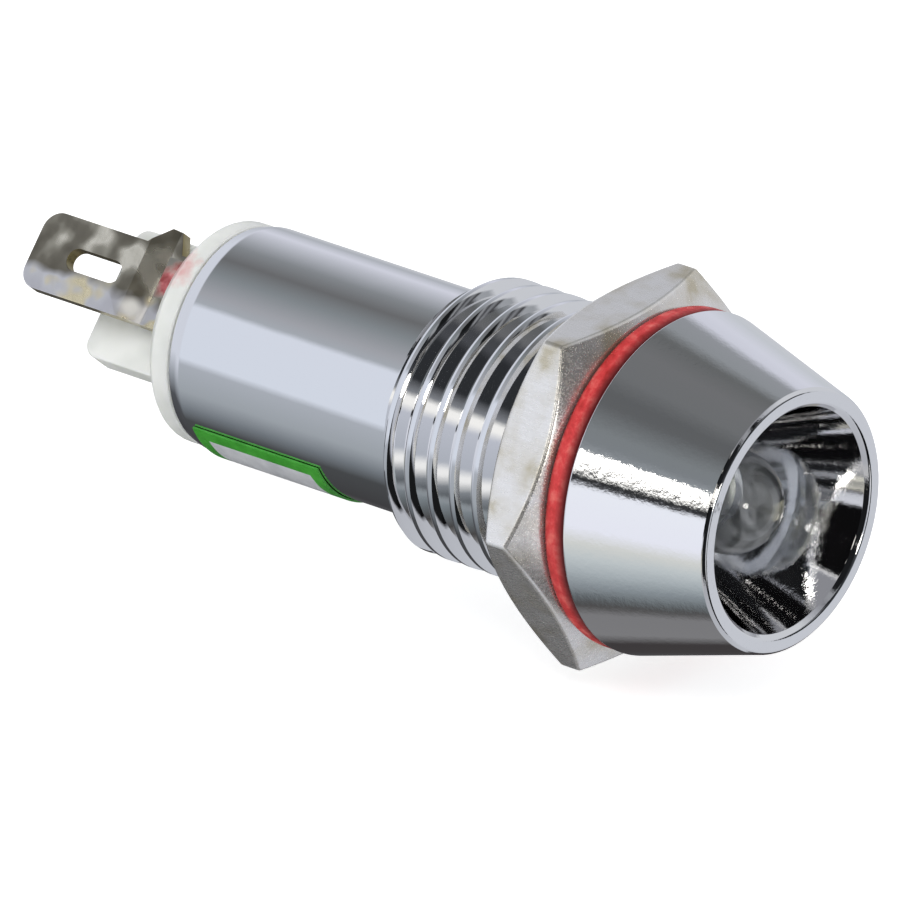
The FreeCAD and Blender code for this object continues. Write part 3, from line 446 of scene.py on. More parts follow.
pale_ink, tree, shader, place = new_finish("pale_printed_film", Roughness=0.28)
mottle = add(tree, "ShaderNodeTexNoise", {"Vector": place, "Scale": 1.6, "Detail": 4.0})
tone = set_stops(add(tree, "ShaderNodeValToRGB", {"Fac": mottle.outputs["Fac"]}), [
    (0.35, "c3c5cb"), (0.65, "d9dbe0"),
])
tree.links.new(tone.outputs["Color"], shader.inputs["Base Color"])
print("made", green_ink.name, pale_ink.name)

# %% [markdown]
# ## Finishes of the hidden pieces
#
# The resistor, wires, sleeves, collar and tube sit inside the barrel. They get plain
# but real finishes, so that the model is also right when it is taken apart. Each has a
# darker and a paler tone, a roughness, and 1 where it is metal.

# %% Hidden finishes
HIDDEN = {
    "black_moulded_nylon": ("1c1c1d", "2b2b2c", 0.5, 0.0),
    "buff_insulating_board": ("b9a77e", "cdbd97", 0.8, 0.0),
    "resistor_lacquer": ("b08f5c", "c7a877", 0.35, 0.0),
    "tinned_copper_wire": ("b5b4b1", "d2d1ce", 0.3, 1.0),
    "black_shrink_sleeve": ("161617", "262627", 0.55, 0.0),
    "soft_solder": ("a9abae", "d0d1d3", 0.25, 1.0),
}
hidden = {}
for name, (darker, paler, roughness, metallic) in HIDDEN.items():
    finish, tree, shader, place = new_finish(name, Roughness=roughness, Metallic=metallic)
    mottle = add(tree, "ShaderNodeTexNoise", {"Vector": place, "Scale": 2.0, "Detail": 3.0})
    tone = set_stops(add(tree, "ShaderNodeValToRGB", {"Fac": mottle.outputs["Fac"]}), [
        (0.35, darker), (0.65, paler),
    ])
    tree.links.new(tone.outputs["Color"], shader.inputs["Base Color"])
    grain = add(tree, "ShaderNodeBump", {
        "Height": mottle.outputs["Fac"], "Strength": 0.2, "Distance": 0.02 * MM,
    })
    tree.links.new(grain.outputs["Normal"], shader.inputs["Normal"])
    hidden[name] = finish
print("made", *hidden)

# %% Finishes on the CAD pieces that stay
FINISH_OF_NODE = {
    "led_cathode_frame": silver,
    "led_anode_post": silver,
    "led_die": crystal,
    "led_collar": hidden["black_moulded_nylon"],
    "insulating_tube": hidden["buff_insulating_board"],
    "resistor": hidden["resistor_lacquer"],
    "resistor_lead_front": hidden["tinned_copper_wire"],
    "resistor_lead_rear": hidden["tinned_copper_wire"],
    "return_wire": hidden["tinned_copper_wire"],
    "resistor_sleeve": hidden["black_shrink_sleeve"],
    "return_wire_insulation": hidden["black_shrink_sleeve"],
    "solder_anode": hidden["soft_solder"],
    "solder_cathode": hidden["soft_solder"],
    "solder_positive_lug": hidden["soft_solder"],
    "solder_negative_lug": hidden["soft_solder"],
    "polarity_mark": mark_paint,
}
for node, finish in FINISH_OF_NODE.items():
    nodes[node].data.materials.clear()
    nodes[node].data.materials.append(finish)
print("finished", len(FINISH_OF_NODE), "CAD pieces")

# %% [markdown]
# ## Turned pieces
#
# A turned piece is one section carried round the axis. The section is written as
# corners, each with its own small rounding, because a lathe tool never leaves a truly
# sharp edge and a chrome edge is seen only by the thin light line on its rounding.
# Two extra points beside each rounding hold the long straight flanks perfectly
# straight, which a mirror finish needs.

# %% Helpers for turned pieces
SEGMENTS = 192
HOLD = 0.012
# Two corners that are nearer than this are one corner.
WELD = 0.0005 * MM


def eased(corners, steps=6):
    """Round each (radius, height, rounding) corner, and hold the straights beside it."""
    outline = []
    for place, (x, y, ease) in enumerate(corners):
        here = Vector((x, y))
        if not ease:
            outline.append(here)
            continue
        before = (Vector(corners[place - 1][:2]) - here).normalized()
        after = (Vector(corners[(place + 1) % len(corners)][:2]) - here).normalized()
        half = before.angle(after) / 2
        reach = ease / math.tan(half)
        centre = here + (before + after).normalized() * ease / math.sin(half)
        start = here + before * reach
        end = here + after * reach
        outline.append(start + before * HOLD)
        for step in range(steps + 1):
            spoke = start.lerp(end, step / steps) - centre
            outline.append(centre + spoke.normalized() * ease)
        outline.append(end + after * HOLD)
    return outline


def turned(outline, closed=True, segments=SEGMENTS):
    """Carry an outline of (radius, height) points round the lamp's axis."""
    shape = bmesh.new()
    rings = []
    for radius, height in outline:
        count = segments if radius else 1
        ring = []
        for step in range(count):
            angle = FULL_TURN * step / segments
            spot = (radius * math.cos(angle), -height, radius * math.sin(angle))
            ring.append(shape.verts.new(Vector(spot) * MM))
        rings.append(ring)
    pairs = list(zip(rings, rings[1:]))
    if closed:
        pairs.append((rings[-1], rings[0]))
    for one, two in pairs:
        for step in range(segments):
            following = (step + 1) % segments
            corners = [one[step % len(one)], one[following % len(one)],
                       two[following % len(two)], two[step % len(two)]]
            corners = list(dict.fromkeys(corners))
            if len(corners) > 2:
                shape.faces.new(corners)
    return shape


def mesh_of(name, shape):
    """Turn a shape into a mesh, and let the shape go."""
    mesh = bpy.data.meshes.new(name)
    shape.to_mesh(mesh)
    shape.free()
    return mesh


def placed(name, data):
    """Make an object of a mesh, a lamp or a camera, and put it in the scene."""
    thing = bpy.data.objects.new(name, data)
    bpy.context.scene.collection.objects.link(thing)
    return thing


def finished(name, shape, finish, sharp_angle=32):
    """Make an object of a shape, with normals outward and smooth up to an angle."""
    bmesh.ops.remove_doubles(shape, verts=shape.verts, dist=WELD)
    bmesh.ops.recalc_face_normals(shape, faces=shape.faces)
    mesh = mesh_of(name, shape)
    mesh.shade_smooth()
    mesh.set_sharp_from_angle(angle=math.radians(sharp_angle))
    mesh.materials.append(finish)
    print(name, "has", sum(len(face.vertices) - 2 for face in mesh.polygons), "triangles")
    return placed(name, mesh)


# %% [markdown]
# ## The screw thread, by Geometry Nodes
#
# A thread is a section that climbs as it turns. A flat grid is bent round the axis so
# that each of its rows follows the helix: every row then keeps one radius, and the
# crest edges stay crisp. The depth comes from the distance to the nearest groove. The
# rows of one spare turn at either end are held at that end: the first of them closes
# the section there, and the rest drop to the relief in front or to the barrel behind.

# %% Thread sizes
THREAD_DIA = 8.0
THREAD_PITCH = 0.8
THREAD_CREST = 0.2
FLANK_ANGLE = 30.0
THREAD_FRONT = 1.4
THREAD_REAR = 7.52
THREAD_CHAMFER = 0.4
THREAD_PHASE = 0.7
RELIEF_RADIUS = 3.45
BARREL_RADIUS = 3.26
ROWS_PER_PITCH = 16
SPARE_TURN = 1
turns = (THREAD_REAR - THREAD_FRONT) / THREAD_PITCH + 2 * SPARE_TURN
rows = round(turns * ROWS_PER_PITCH) + 1
print("the thread's grid has", rows, "rows for", round(turns, 2), "turns")

# %% Inputs of the thread's tree
THREAD_INPUTS = {
    "Crest Radius": THREAD_DIA / 2,
    "Pitch": THREAD_PITCH,
    "Crest Width": THREAD_CREST,
    "Flank Slope": math.tan(math.radians(FLANK_ANGLE)),
    "Front": THREAD_FRONT,
    "Rear": THREAD_REAR,
    "Chamfer": THREAD_CHAMFER,
    "Phase": THREAD_PHASE,
    "Relief Radius": RELIEF_RADIUS,
    "Barrel Radius": BARREL_RADIUS,
}
tree = bpy.data.node_groups.new("screw_thread", "GeometryNodeTree")
tree.interface.new_socket("Geometry", in_out="OUTPUT", socket_type="NodeSocketGeometry")
sockets = {}
for name, value in THREAD_INPUTS.items():
    socket = tree.interface.new_socket(name, in_out="INPUT", socket_type="NodeSocketFloat")
    socket.default_value = value
    sockets[name] = socket.identifier
given = add(tree, "NodeGroupInput").outputs
grid = add(tree, "GeometryNodeMeshGrid", {
    "Size X": 1.0, "Size Y": turns, "Vertices X": SEGMENTS + 1, "Vertices Y": rows,
})
on_grid = add(tree, "GeometryNodeInputPosition").outputs[0]
spot = add(tree, "ShaderNodeSeparateXYZ", {0: on_grid}).outputs
print("the thread's tree has", len(sockets), "inputs")

# %% [markdown]
# The thread's rule is a list of small sums. Each row below is one Math node: the name of
# what it makes, the operation, and the one or two values that go in. A turn is the share
# of the way round, and a row counts pitches along the axis.

# %% Steps from the grid to the thread
THREAD_STEPS = [
    ("turn", "ADD", "grid x", 0.5),
    ("row below", "ADD", "grid y", turns / 2 - SPARE_TURN),
    ("row", "ADD", "row below", "turn"),
    ("front to groove", "SUBTRACT", "Phase", "Front"),
    ("pitches to groove", "DIVIDE", "front to groove", "Pitch"),
    ("groove line", "MODULO", "pitches to groove", 1.0),
    ("shifted row", "ADD", "row", "groove line"),
    ("climb", "MULTIPLY", "shifted row", "Pitch"),
    ("free level", "ADD", "Front", "climb"),
    ("level behind front", "MAXIMUM", "free level", "Front"),
    ("level", "MINIMUM", "level behind front", "Rear"),
    ("row step", "DIVIDE", "Pitch", ROWS_PER_PITCH),
    ("before front", "SUBTRACT", "Front", "free level"),
    ("in front", "GREATER_THAN", "before front", "row step"),
    ("past rear", "SUBTRACT", "free level", "Rear"),
    ("behind", "GREATER_THAN", "past rear", "row step"),
    ("from first groove", "SUBTRACT", "level", "Phase"),
    ("grooves passed", "DIVIDE", "from first groove", "Pitch"),
    ("winding", "SUBTRACT", "grooves passed", "turn"),
    ("winding and a half", "ADD", "winding", 0.5),
    ("share of a pitch", "FLOORED_MODULO", "winding and a half", 1.0),
    ("to groove", "SUBTRACT", "share of a pitch", 0.5),
    ("share off groove", "ABSOLUTE", "to groove"),
    ("off groove", "MULTIPLY", "share off groove", "Pitch"),
    ("groove width", "SUBTRACT", "Pitch", "Crest Width"),
    ("half groove", "MULTIPLY", "groove width", 0.5),
    ("inside groove", "SUBTRACT", "half groove", "off groove"),
    ("flank depth", "DIVIDE", "inside groove", "Flank Slope"),
    ("groove depth", "MAXIMUM", "flank depth", 0.0),
    ("from rear", "SUBTRACT", "level", "Rear"),
    ("past chamfer", "ADD", "from rear", "Chamfer"),
    ("depth", "MAXIMUM", "groove depth", "past chamfer"),
    ("thread radius", "SUBTRACT", "Crest Radius", "depth"),
    ("step to relief", "SUBTRACT", "Relief Radius", "thread radius"),
    ("drop in front", "MULTIPLY", "in front", "step to relief"),
    ("radius from front", "ADD", "thread radius", "drop in front"),
    ("step to barrel", "SUBTRACT", "Barrel Radius", "radius from front"),
    ("drop behind", "MULTIPLY", "behind", "step to barrel"),
    ("radius", "ADD", "radius from front", "drop behind"),
    ("angle", "MULTIPLY", "turn", FULL_TURN),
    ("cosine", "COSINE", "angle"),
    ("sine", "SINE", "angle"),
    ("across", "MULTIPLY", "radius", "cosine"),
    ("upward", "MULTIPLY", "radius", "sine"),
]
made = {"grid x": spot["X"], "grid y": spot["Y"]}
for name in THREAD_INPUTS:
    made[name] = given[name]
for name, operation, *terms in THREAD_STEPS:
    going_in = {place: made.get(term, term) for place, term in enumerate(terms)}
    made[name] = add(tree, "ShaderNodeMath", going_in, operation=operation).outputs[0]
print("the thread's rule takes", len(THREAD_STEPS), "steps")

# %% Bend the grid, and end the tree
bent = add(tree, "ShaderNodeCombineXYZ", {
    "X": made["across"], "Y": made["level"], "Z": made["upward"],
})
metres = add(tree, "ShaderNodeVectorMath", {0: bent.outputs[0], "Scale": MM}, operation="SCALE")
moved = add(tree, "GeometryNodeSetPosition", {
    "Geometry": grid.outputs["Mesh"], "Position": metres.outputs[0],
})
merged = add(tree, "GeometryNodeMergeByDistance", {
    "Geometry": moved.outputs[0], "Distance": WELD,
})
real = add(tree, "GeometryNodeRealizeInstances", {"Geometry": merged.outputs[0]})
coated = add(tree, "GeometryNodeSetMaterial", {"Geometry": real.outputs[0], "Material": chrome})
add(tree, "NodeGroupOutput", {"Geometry": coated.outputs[0]})
print("the thread's tree has", len(tree.nodes), "nodes")

# %% Grow the thread and keep it as a plain mesh
carrier = placed("thread_carrier", bpy.data.meshes.new("thread_carrier"))
grower = carrier.modifiers.new("screw_thread", "NODES")
grower.node_group = tree
for name, value in THREAD_INPUTS.items():
    grower[sockets[name]] = value
evaluated = carrier.evaluated_get(bpy.context.evaluated_depsgraph_get())
thread_mesh = bpy.data.meshes.new_from_object(evaluated)
bpy.data.objects.remove(carrier)
print("the thread has", len(thread_mesh.polygons), "faces")

# %% [markdown]
# ## The chrome body
#
# Head, rim, mirror recess, thread relief, barrel and bore are one turned piece. It is
# open where the thread goes, and the thread's surface fills that gap, so both become
# one mesh. The recess is a straight cone: it shows the lens again as a smoky ring. The
# rim is a low lip, sloped on both sides, and the barrel's rear edge is rolled inward.

# %% Outline of head and barrel
LENS_HOLE = 1.505
RECESS_FLOOR = 0.32
CONE_FOOT = 1.70
CONE_MOUTH = 3.235
CONE_HEIGHT = 3.98
HEAD_FRONT = 4.12
RIM_INSIDE = 3.36
RIM_OUTSIDE = 3.71
HEAD_NOSE = 3.80
NOSE_HEIGHT = 4.03
HEAD_FOOT = 4.91
BARREL_REAR = 15.65
ROLL_START = 15.22
ROLL_RADIUS = 3.18
ROLL_END = 15.56
REAR_EDGE = 3.09
BORE_RADIUS = 2.80
WEB_REAR = -0.88
body_outline = eased([
    (LENS_HOLE, RECESS_FLOOR, 0),
    (CONE_FOOT, RECESS_FLOOR, 0),
    (CONE_MOUTH, CONE_HEIGHT, 0.05),
    (RIM_INSIDE, HEAD_FRONT, 0.10),
    (RIM_OUTSIDE, HEAD_FRONT, 0.07),
    (HEAD_NOSE, NOSE_HEIGHT, 0.07),
    (HEAD_FOOT, 0.0, 0.05),
    (RELIEF_RADIUS, 0.0, 0),
    (RELIEF_RADIUS, -THREAD_FRONT, 0),
])
rear_outline = eased([
    (BARREL_RADIUS, -THREAD_REAR, 0),
    (BARREL_RADIUS, -ROLL_START, 0.9),
    (ROLL_RADIUS, -ROLL_END, 0.12),
    (REAR_EDGE, -BARREL_REAR, 0.05),
    (BORE_RADIUS, -BARREL_REAR, 0),
    (BORE_RADIUS, WEB_REAR, 0),
    (LENS_HOLE, WEB_REAR, 0),
    (LENS_HOLE, RECESS_FLOOR, 0),
])
print("the body's outlines have", len(body_outline) + len(rear_outline), "points")

# %% Turned body
shape = turned(body_outline, closed=False)
shape.from_mesh(mesh_of("turned_rear", turned(rear_outline, closed=False)))
shape.from_mesh(thread_mesh)
chrome_body = finished("chrome_body", shape, chrome)
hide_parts("lamp_body")
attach(chrome_body, "lamp")

# %% [markdown]
# ## Gasket and lens
#
# The gasket is a flat washer whose rim has rounded in use. The lens is a cylinder with
# a half-ball end and a flange at its foot, cast round the lead frame.

# %% Gasket
GASKET_INSIDE = 4.05
GASKET_OUTSIDE = 4.88
GASKET_FRONT = -0.02
GASKET_REAR = -0.76
GASKET_EASE = 0.26
gasket = finished("rubber_gasket", turned(eased([
    (GASKET_INSIDE, GASKET_FRONT, 0),
    (GASKET_OUTSIDE, GASKET_FRONT, GASKET_EASE),
    (GASKET_OUTSIDE, GASKET_REAR, GASKET_EASE),
    (GASKET_INSIDE, GASKET_REAR, 0),
])), rubber)
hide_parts("sealing_gasket")
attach(gasket, "turning_ring")

# %% Lens
LENS_RADIUS = 1.475
DOME_CENTRE = 1.92
DOME_STEPS = 24
LENS_FOOT = -1.88
FLANGE_RADIUS = 1.9
FLANGE_FRONT = -0.90
LENS_SEGMENTS = 96
lens_outline = [
    (0, LENS_FOOT),
    (FLANGE_RADIUS, LENS_FOOT),
    (FLANGE_RADIUS, FLANGE_FRONT),
    (LENS_RADIUS, FLANGE_FRONT),
]
for step in range(DOME_STEPS):
    lift = math.radians(90 * step / DOME_STEPS)
    height = DOME_CENTRE + LENS_RADIUS * math.sin(lift)
    lens_outline.append((LENS_RADIUS * math.cos(lift), height))
lens_outline.append((0, DOME_CENTRE + LENS_RADIUS))
lens_shape = turned(lens_outline, closed=False, segments=LENS_SEGMENTS)
lens = finished("clear_lens", lens_shape, epoxy)
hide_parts("led_lens")
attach(lens, "lamp")

# %% [markdown]
# ## Nut, plug and lugs
#
# These have flats, slots and bends, and their solids already have the right form. A
# copy of each is merged and its flat triangles are joined, and then a bevel rounds the
# edges that a hand would feel. The nut's inner thread is left as it is.

# %% Copy a solid and round its edges
FLAT_ANGLE = math.radians(0.5)
EDGE_ANGLE = math.radians(20)


def dressed(node, name, finish, body, rounding, inside=0.0):
    """Copy a CAD node and round its sharp edges that lie outside a radius."""
    shape = bmesh.new()
    shape.from_mesh(nodes[node].data)
    bmesh.ops.remove_doubles(shape, verts=shape.verts, dist=WELD)
    bmesh.ops.dissolve_limit(
        shape, angle_limit=FLAT_ANGLE, verts=shape.verts, edges=shape.edges,
    )
    piece = finished(name, shape, finish)
    weights = piece.data.attributes.new("bevel_weight_edge", "FLOAT", "EDGE")
    count = 0
    probe = bmesh.new()
    probe.from_mesh(piece.data)
    probe.edges.ensure_lookup_table()
    for edge in probe.edges:
        sharp = len(edge.link_faces) == 2 and edge.calc_face_angle() > EDGE_ANGLE
        out = all(math.hypot(end.co.x, end.co.z) > inside * MM for end in edge.verts)
        if sharp and out:
            weights.data[edge.index].value = 1.0
            count += 1
    probe.free()
    rounder = piece.modifiers.new("rounded_edges", "BEVEL")
    rounder.limit_method = "WEIGHT"
    rounder.width = rounding * MM
    rounder.segments = 3
    rounder.harden_normals = True
    print(name, "has", count, "rounded edges")
    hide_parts(node)
    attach(piece, body)


# %% Nut, plug and lugs
NUT_THREAD_REACH = 4.3
dressed("hex_nut", "nickel_nut", nickel, "nut", 0.09, inside=NUT_THREAD_REACH)
dressed("end_plug", "nylon_plug", nylon, "lamp", 0.10)
dressed("positive_lug", "near_lug", lug_tin, "lamp", 0.05)
dressed("negative_lug", "far_lug", lug_tin, "lamp", 0.05)

# %% [markdown]
# ## Label
#
# The label is a film wrapped round the underside of the barrel. It is drawn here as
# curved sheets with many more steps than the solid has, so that its gloss runs evenly:
# a green film below, and on it four strips of border round the blank field.

# %% Curved sheets
def wrapped(start, spread, inner, outer, front, rear, steps=64):
    """Wrap a thin sheet round the barrel between two angles and two distances."""
    shape = bmesh.new()
    section = ((inner, front), (outer, front), (outer, rear), (inner, rear))
    rows = []
    for step in range(steps + 1):
        angle = math.radians(start + spread * step / steps)
        row = []
        for radius, y in section:
            spot = (radius * math.cos(angle), y, radius * math.sin(angle))
            row.append(shape.verts.new(Vector(spot) * MM))
        rows.append(row)
    for one, two in zip(rows, rows[1:]):
        for side in range(4):
            following = (side + 1) % 4
            shape.faces.new([one[side], one[following], two[following], two[side]])
    shape.faces.new(rows[0])
    shape.faces.new(rows[-1][::-1])
    return shape


# %% Label film
LABEL_START = 207.5
LABEL_SPREAD = 100.0
LABEL_FRONT = 10.40
LABEL_REAR = 14.90
LABEL_IN = BARREL_RADIUS + 0.02
LABEL_OUT = BARREL_RADIUS + 0.08
PRINT_IN = LABEL_OUT - 0.03
label = finished("green_label", wrapped(
    LABEL_START, LABEL_SPREAD, LABEL_IN, PRINT_IN, LABEL_FRONT, LABEL_REAR,
), green_ink)
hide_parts("rating_label")
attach(label, "lamp")

# %% Border and field
BORDER = 0.42
border_angle = math.degrees(BORDER / LABEL_OUT)
field_start = LABEL_START + border_angle
field_spread = LABEL_SPREAD - 2 * border_angle
field_front = LABEL_FRONT + BORDER
field_rear = LABEL_REAR - BORDER
frame_strips = [
    (LABEL_START, border_angle, LABEL_FRONT, LABEL_REAR),
    (LABEL_START + LABEL_SPREAD - border_angle, border_angle, LABEL_FRONT, LABEL_REAR),
    (field_start, field_spread, LABEL_FRONT, field_front),
    (field_start, field_spread, field_rear, LABEL_REAR),
]
for place, (start, spread, front, rear) in enumerate(frame_strips):
    strip = finished(f"green_border_{place}", wrapped(
        start, spread, PRINT_IN, LABEL_OUT, front, rear,
    ), green_ink)
    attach(strip, "lamp")
field = finished("blank_field", wrapped(
    field_start, field_spread, PRINT_IN, LABEL_OUT, field_front, field_rear,
), pale_ink)
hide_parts("label_field")
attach(field, "lamp")

# %% [markdown]
# ## Camera
#
# The lamp was photographed with a long lens from its front left and a little above.
# The camera stands at that angle, and is turned so that the middle of the panel seat
# falls on the same point of the picture.

# %% Camera
AZIMUTH = math.radians(-50.0)
ELEVATION = math.radians(23.6)
DISTANCE = 1095.9
FOCAL = 1600.0
SENSOR = 36.0
NEAREST = 10.0
FURTHEST = 10000.0
SEAT_RIGHT = 6.211
SEAT_DOWN = 0.901
right = Vector((math.cos(AZIMUTH), math.sin(AZIMUTH), 0))
back = Vector((
    math.sin(AZIMUTH) * math.cos(ELEVATION),
    -math.cos(AZIMUTH) * math.cos(ELEVATION),
    math.sin(ELEVATION),
))
up = back.cross(right)
camera = placed("camera", bpy.data.cameras.new("camera"))
camera.data.lens = FOCAL
camera.data.sensor_width = SENSOR
camera.data.clip_start = NEAREST * MM
camera.data.clip_end = FURTHEST * MM
aim = (up * SEAT_DOWN - right * SEAT_RIGHT) * MM
camera.location = aim + back * DISTANCE * MM
camera.rotation_euler = back.to_track_quat("Z", "Y").to_euler()
bpy.context.scene.camera = camera
print("the camera stands at", tuple(round(v, 4) for v in camera.location))

# %% [markdown]
# ## Tent, floor and lamps
#
# A chrome piece is photographed inside a light tent: white cloth with dark strips
# beside it, which draw the long bands that make the shape readable. Here the tent is a
# ball that only reflections see. Its cloth is painted by the angle round the lamp's
# axis, in seven belts from straight ahead to behind. Each belt is what one kind of
# surface sees: thread flanks, recess, rim, head, thread grooves, barrel and rolled edge.
# Each stop of a belt is an angle in degrees, from the lamp's right over its top, and the
# tone there. The angles are counted from a seam at the lower right.

# %% Cloth of the tent, belt by belt
SEAM = 30.0


def around(stops):
    """Turn (degrees round the axis, colour) into ramp positions counted from the seam."""
    return [((angle + SEAM) / 360, code) for angle, code in stops]


DEAD_AHEAD = around([
    (-30, "606267"), (0, "3c3e41"), (40, "242528"), (120, "2a2b2e"), (136, "45474b"),
    (143, "fdfcf8"), (156, "fdfcf8"), (163, "aeb1ba"), (240, "b2b5be"), (262, "e8e9ec"),
    (278, "f0f0f0"), (290, "7c7f85"), (329, "606267"),
])
STRAIGHT_AHEAD = around([
    (-30, "0b0b0c"), (17, "2a2a2c"), (24, "8e9196"), (34, "94979c"), (38, "2a2a2c"),
    (44, "7a7c80"), (50, "3a3b3e"), (56, "8a8c90"), (62, "161718"), (80, "161718"),
    (84, "8c8e92"), (92, "8c8e92"), (98, "1a1b1d"), (266, "161718"), (272, "0b0b0c"),
    (329, "0b0b0c"),
])
ROUND_THE_RIM = around([
    (-30, "bcbfc6"), (50, "c0c2c6"), (66, "a0a2a8"), (78, "828388"), (112, "828388"),
    (115, "c8c8c8"), (118, "0b0b0c"), (182, "0b0b0c"), (185, "c4c6cd"), (193, "b4b6bd"),
    (196, "3a3a3c"), (198, "b6b4aa"), (204, "8a8a86"), (208, "c8c6ba"), (212, "8c8d90"),
    (222, "b0b0b2"), (234, "a0a2a8"), (329, "bcbfc6"),
])
BESIDE_HEAD = around([
    (-30, "b8b9be"), (0, "b6bac0"), (20, "c6c8d3"), (32, "c2c4cf"), (40, "8a8d92"),
    (53, "868a8e"), (62, "606263"), (80, "6a6b6d"), (100, "686a6c"), (112, "595b5d"),
    (120, "5a5c5e"), (136, "757a7d"), (144, "767b7f"), (151, "8d9297"), (154, "fdfcf8"),
    (162, "fdfcf8"), (163.5, "2e2f31"), (168, "2e2f31"), (170, "dfe2ea"), (195, "dddfe9"),
    (204.7, "c7c9c6"), (214, "b6bdbf"), (223.4, "a1a9ad"), (233.8, "7f878c"),
    (243.5, "646a6d"), (254, "4a4949"), (262, "777777"), (279, "787778"), (290, "3a3738"),
    (329, "3c3a3b"),
])
BESIDE_THREAD = around([
    (-30, "b8b9be"), (0, "b6bac0"), (20, "c6c8d3"), (32, "c2c4cf"), (40, "8a8d92"),
    (53, "868a8e"), (62, "606263"), (70, "3c3e41"), (96, "4a4c50"), (104, "2e3033"),
    (138, "2e3033"), (149, "85888d"), (154, "fdfcf8"), (159, "fdfcf8"), (166, "c2c6d0"),
    (196, "b4b9c2"), (203, "f6f6f4"), (207, "f6f6f4"), (216, "858a8f"), (224, "5f6468"),
    (232, "9ca1a6"), (240, "565b5f"), (249, "484747"), (257, "747476"), (278, "757577"),
    (290, "3a3738"), (329, "3c3a3b"),
])
BESIDE_BARREL = around([
    (-30, "b8b9be"), (-20, "b8babf"), (0, "a2a6ad"), (20, "c6c8d3"), (40, "a8abb3"),
    (60, "7e8286"), (80, "646567"), (100, "7c8286"), (122, "999ba1"), (132, "9ea3aa"),
    (137, "cbd0db"), (188, "cad0db"), (195, "a2a7af"), (222, "959ba1"), (242, "6c7278"),
    (258, "434547"), (300, "3a3a3c"), (329, "505052"),
])
BEHIND = around([
    (-30, "a6a9b0"), (0, "b4b8c0"), (40, "c6cad4"), (196, "c6cad4"), (226, "8c9198"),
    (250, "4a4c50"), (300, "3a3a3c"), (329, "6c6e73"),
])
BELTS = (
    DEAD_AHEAD, STRAIGHT_AHEAD, ROUND_THE_RIM, BESIDE_HEAD, BESIDE_THREAD, BESIDE_BARREL, BEHIND,
)
print("the cloth has", len(BELTS), "belts")

# %% [markdown]
# Two belts meet in a soft seam. A place along the tent is told by how far a line to it
# from the middle leans along the axis, from -1 straight ahead to 1 straight behind, and
# each seam is given by where it starts and ends.

# %% Join the belts
SEAMS = ((-0.88, -0.84), (-0.66, -0.62), (-0.03, 0.02), (0.22, 0.26), (0.49, 0.56), (0.66, 0.72))


def empty_tree(owner):
    """Give a material or a world nodes, and clear the ones that it starts with."""
    owner.use_nodes = True
    owner.node_tree.nodes.clear()
    return owner.node_tree


tent_cloth = bpy.data.materials.new("tent_cloth")
tree = empty_tree(tent_cloth)
own = add(tree, "ShaderNodeTexCoord").outputs["Object"]
aimed = add(tree, "ShaderNodeVectorMath", {0: own}, operation="NORMALIZE")
toward = add(tree, "ShaderNodeSeparateXYZ", {0: aimed.outputs[0]}).outputs
angle = add(tree, "ShaderNodeMath", {0: toward["Z"], 1: toward["X"]}, operation="ARCTAN2")
from_seam = add(tree, "ShaderNodeMath", {
    0: angle.outputs[0], 1: 1 / FULL_TURN, 2: SEAM / 360,
}, operation="MULTIPLY_ADD")
share = add(tree, "ShaderNodeMath", {0: from_seam.outputs[0]}, operation="FRACT")
belts = []
for stops in BELTS:
    belt = set_stops(add(tree, "ShaderNodeValToRGB", {"Fac": share.outputs[0]}), stops)
    belts.append(belt.outputs["Color"])
cloth = belts[0]
for (start, end), belt in zip(SEAMS, belts[1:]):
    past_seam = add(tree, "ShaderNodeMapRange", {
        "Value": toward["Y"], "From Min": start, "From Max": end,
    })
    joint = add(tree, "ShaderNodeMix", {
        SHARE: past_seam.outputs["Result"], FIRST: cloth, SECOND: belt,
    }, data_type="RGBA")
    cloth = joint.outputs[MIXED]
print("the belts meet in", len(SEAMS), "seams")

# %% [markdown]
# Small bright cards hang in the tent at one side. They make the sparks on the crests
# and edges, on the lens, along the scratched line and on both lips of the rim. Each
# card is a round one: its angle round the axis, its lean along the axis, its radius as a
# share of the tent's, and how much brighter than the cloth it shines.

# %% Bright cards
CARDS = (
    (150.0, -0.38, 0.13, 1.5),
    (150.0, -0.94, 0.10, 12.0),
    (150.0, -0.81, 0.07, 0.5),
    (150.0, -0.645, 0.03, 1.0),
    (154.0, 0.10, 0.07, 3.0),
    (130.7, -0.37, 0.04, 1.0),
)
CLOTH_GLOW = 1.28
strength = CLOTH_GLOW
for bearing, lean, reach, boost in CARDS:
    side = math.sqrt(1 - lean * lean)
    turn = math.radians(bearing)
    middle = (side * math.cos(turn), lean, side * math.sin(turn))
    off_card = add(tree, "ShaderNodeVectorMath", {
        0: aimed.outputs[0], 1: middle,
    }, operation="DISTANCE")
    on_card = add(tree, "ShaderNodeMath", {
        0: off_card.outputs["Value"], 1: reach,
    }, operation="LESS_THAN")
    joint = add(tree, "ShaderNodeMix", {
        SHARE: on_card.outputs[0], FIRST: cloth, SECOND: paint("fbf8f2"),
    }, data_type="RGBA")
    cloth = joint.outputs[MIXED]
    brighter = add(tree, "ShaderNodeMath", {
        0: on_card.outputs[0], 1: boost, 2: strength,
    }, operation="MULTIPLY_ADD")
    strength = brighter.outputs[0]
glow = add(tree, "ShaderNodeEmission", {"Color": cloth, "Strength": strength})
add(tree, "ShaderNodeOutputMaterial", {"Surface": glow.outputs[0]})
print(len(CARDS), "cards hang in the tent")

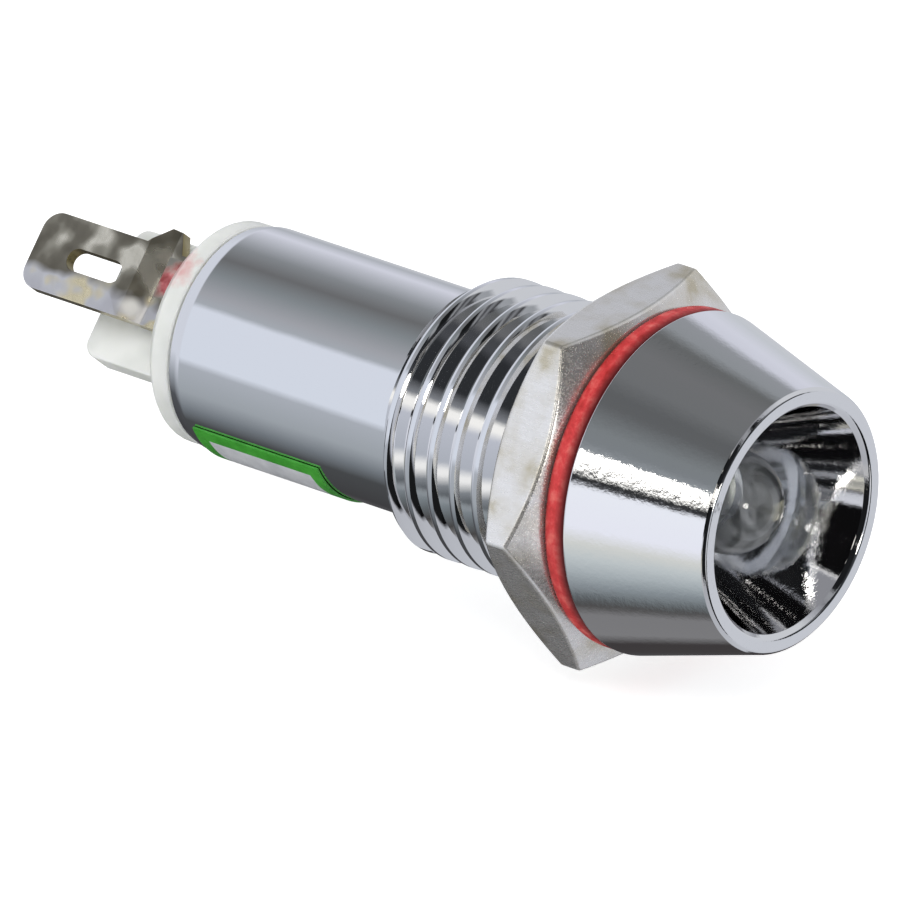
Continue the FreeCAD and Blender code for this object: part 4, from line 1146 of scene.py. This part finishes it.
# %% Tent
TENT_RADIUS = 250
shape = bmesh.new()
bmesh.ops.create_icosphere(shape, subdivisions=4, radius=TENT_RADIUS * MM)
tent = placed("light_tent", mesh_of("light_tent", shape))
tent.data.materials.append(tent_cloth)
tent.visible_camera = False
tent.visible_diffuse = False
tent.visible_transmission = False
tent.visible_shadow = False
print("the tent has", len(tent.data.polygons), "faces")

# %% [markdown]
# The floor is a white sweep. Seen by the camera, or in gloss or glass, it gets a lift of
# its own light, so that it comes out nearly white and still holds the lamp's shadow. The
# world does the same: it shows as white there, and lights the lamp more weakly.

# %% Floor
FLOOR_LEVEL = -5.9
FLOOR_HALF = 2000
FLOOR_LIFT = 0.66


def seen_directly(tree):
    """Give 1 for a camera, glossy or transmission ray, and 0 for any other."""
    rays = add(tree, "ShaderNodeLightPath").outputs
    seen = rays["Is Camera Ray"]
    for kind in ("Is Glossy Ray", "Is Transmission Ray"):
        either = add(tree, "ShaderNodeMath", {0: seen, 1: rays[kind]}, operation="MAXIMUM")
        seen = either.outputs[0]
    return seen


white_sweep = bpy.data.materials.new("white_sweep")
tree = empty_tree(white_sweep)
matt = add(tree, "ShaderNodeBsdfDiffuse", {"Color": paint("f2f2f2")})
lift = add(tree, "ShaderNodeEmission", {"Color": paint("ffffff"), "Strength": FLOOR_LIFT})
both = add(tree, "ShaderNodeAddShader", {0: matt.outputs[0], 1: lift.outputs[0]})
surface = add(tree, "ShaderNodeMixShader", {
    0: seen_directly(tree), 1: matt.outputs[0], 2: both.outputs[0],
})
add(tree, "ShaderNodeOutputMaterial", {"Surface": surface.outputs[0]})
shape = bmesh.new()
bmesh.ops.create_grid(shape, x_segments=1, y_segments=1, size=FLOOR_HALF * MM)
for vertex in shape.verts:
    vertex.co.z = FLOOR_LEVEL * MM
floor = placed("floor", mesh_of("floor", shape))
floor.data.materials.append(white_sweep)
floor.visible_glossy = False
print("the floor lies", FLOOR_LEVEL, "mm below the axis")

# %% World and lamps
WORLD_LIGHT = 0.55
WORLD_SHOWN = 1.0
world = bpy.data.worlds.new("studio")
bpy.context.scene.world = world
tree = empty_tree(world)
brightness = add(tree, "ShaderNodeMapRange", {
    "Value": seen_directly(tree), "To Min": WORLD_LIGHT, "To Max": WORLD_SHOWN,
})
air = add(tree, "ShaderNodeBackground", {
    "Color": paint("ffffff"), "Strength": brightness.outputs["Result"],
})
add(tree, "ShaderNodeOutputWorld", {"Surface": air.outputs[0]})


def soft_lamp(name, direction, distance, size, power):
    """Hang a square soft lamp that looks at the piece."""
    lamp = placed(name, bpy.data.lights.new(name, "AREA"))
    lamp.data.size = size * MM
    lamp.data.energy = power
    aim = Vector(direction).normalized()
    lamp.location = aim * distance * MM
    lamp.rotation_euler = aim.to_track_quat("Z", "Y").to_euler()
    lamp.visible_glossy = False
    print(name, "shines with", power, "watts")


soft_lamp("key_lamp", direction=(-0.5, -0.4, 1.0), distance=300, size=200, power=0.42)
soft_lamp("fill_lamp", direction=(-1.0, 0.3, 0.25), distance=350, size=250, power=0.15)
bpy.context.scene.view_settings.view_transform = "Standard"
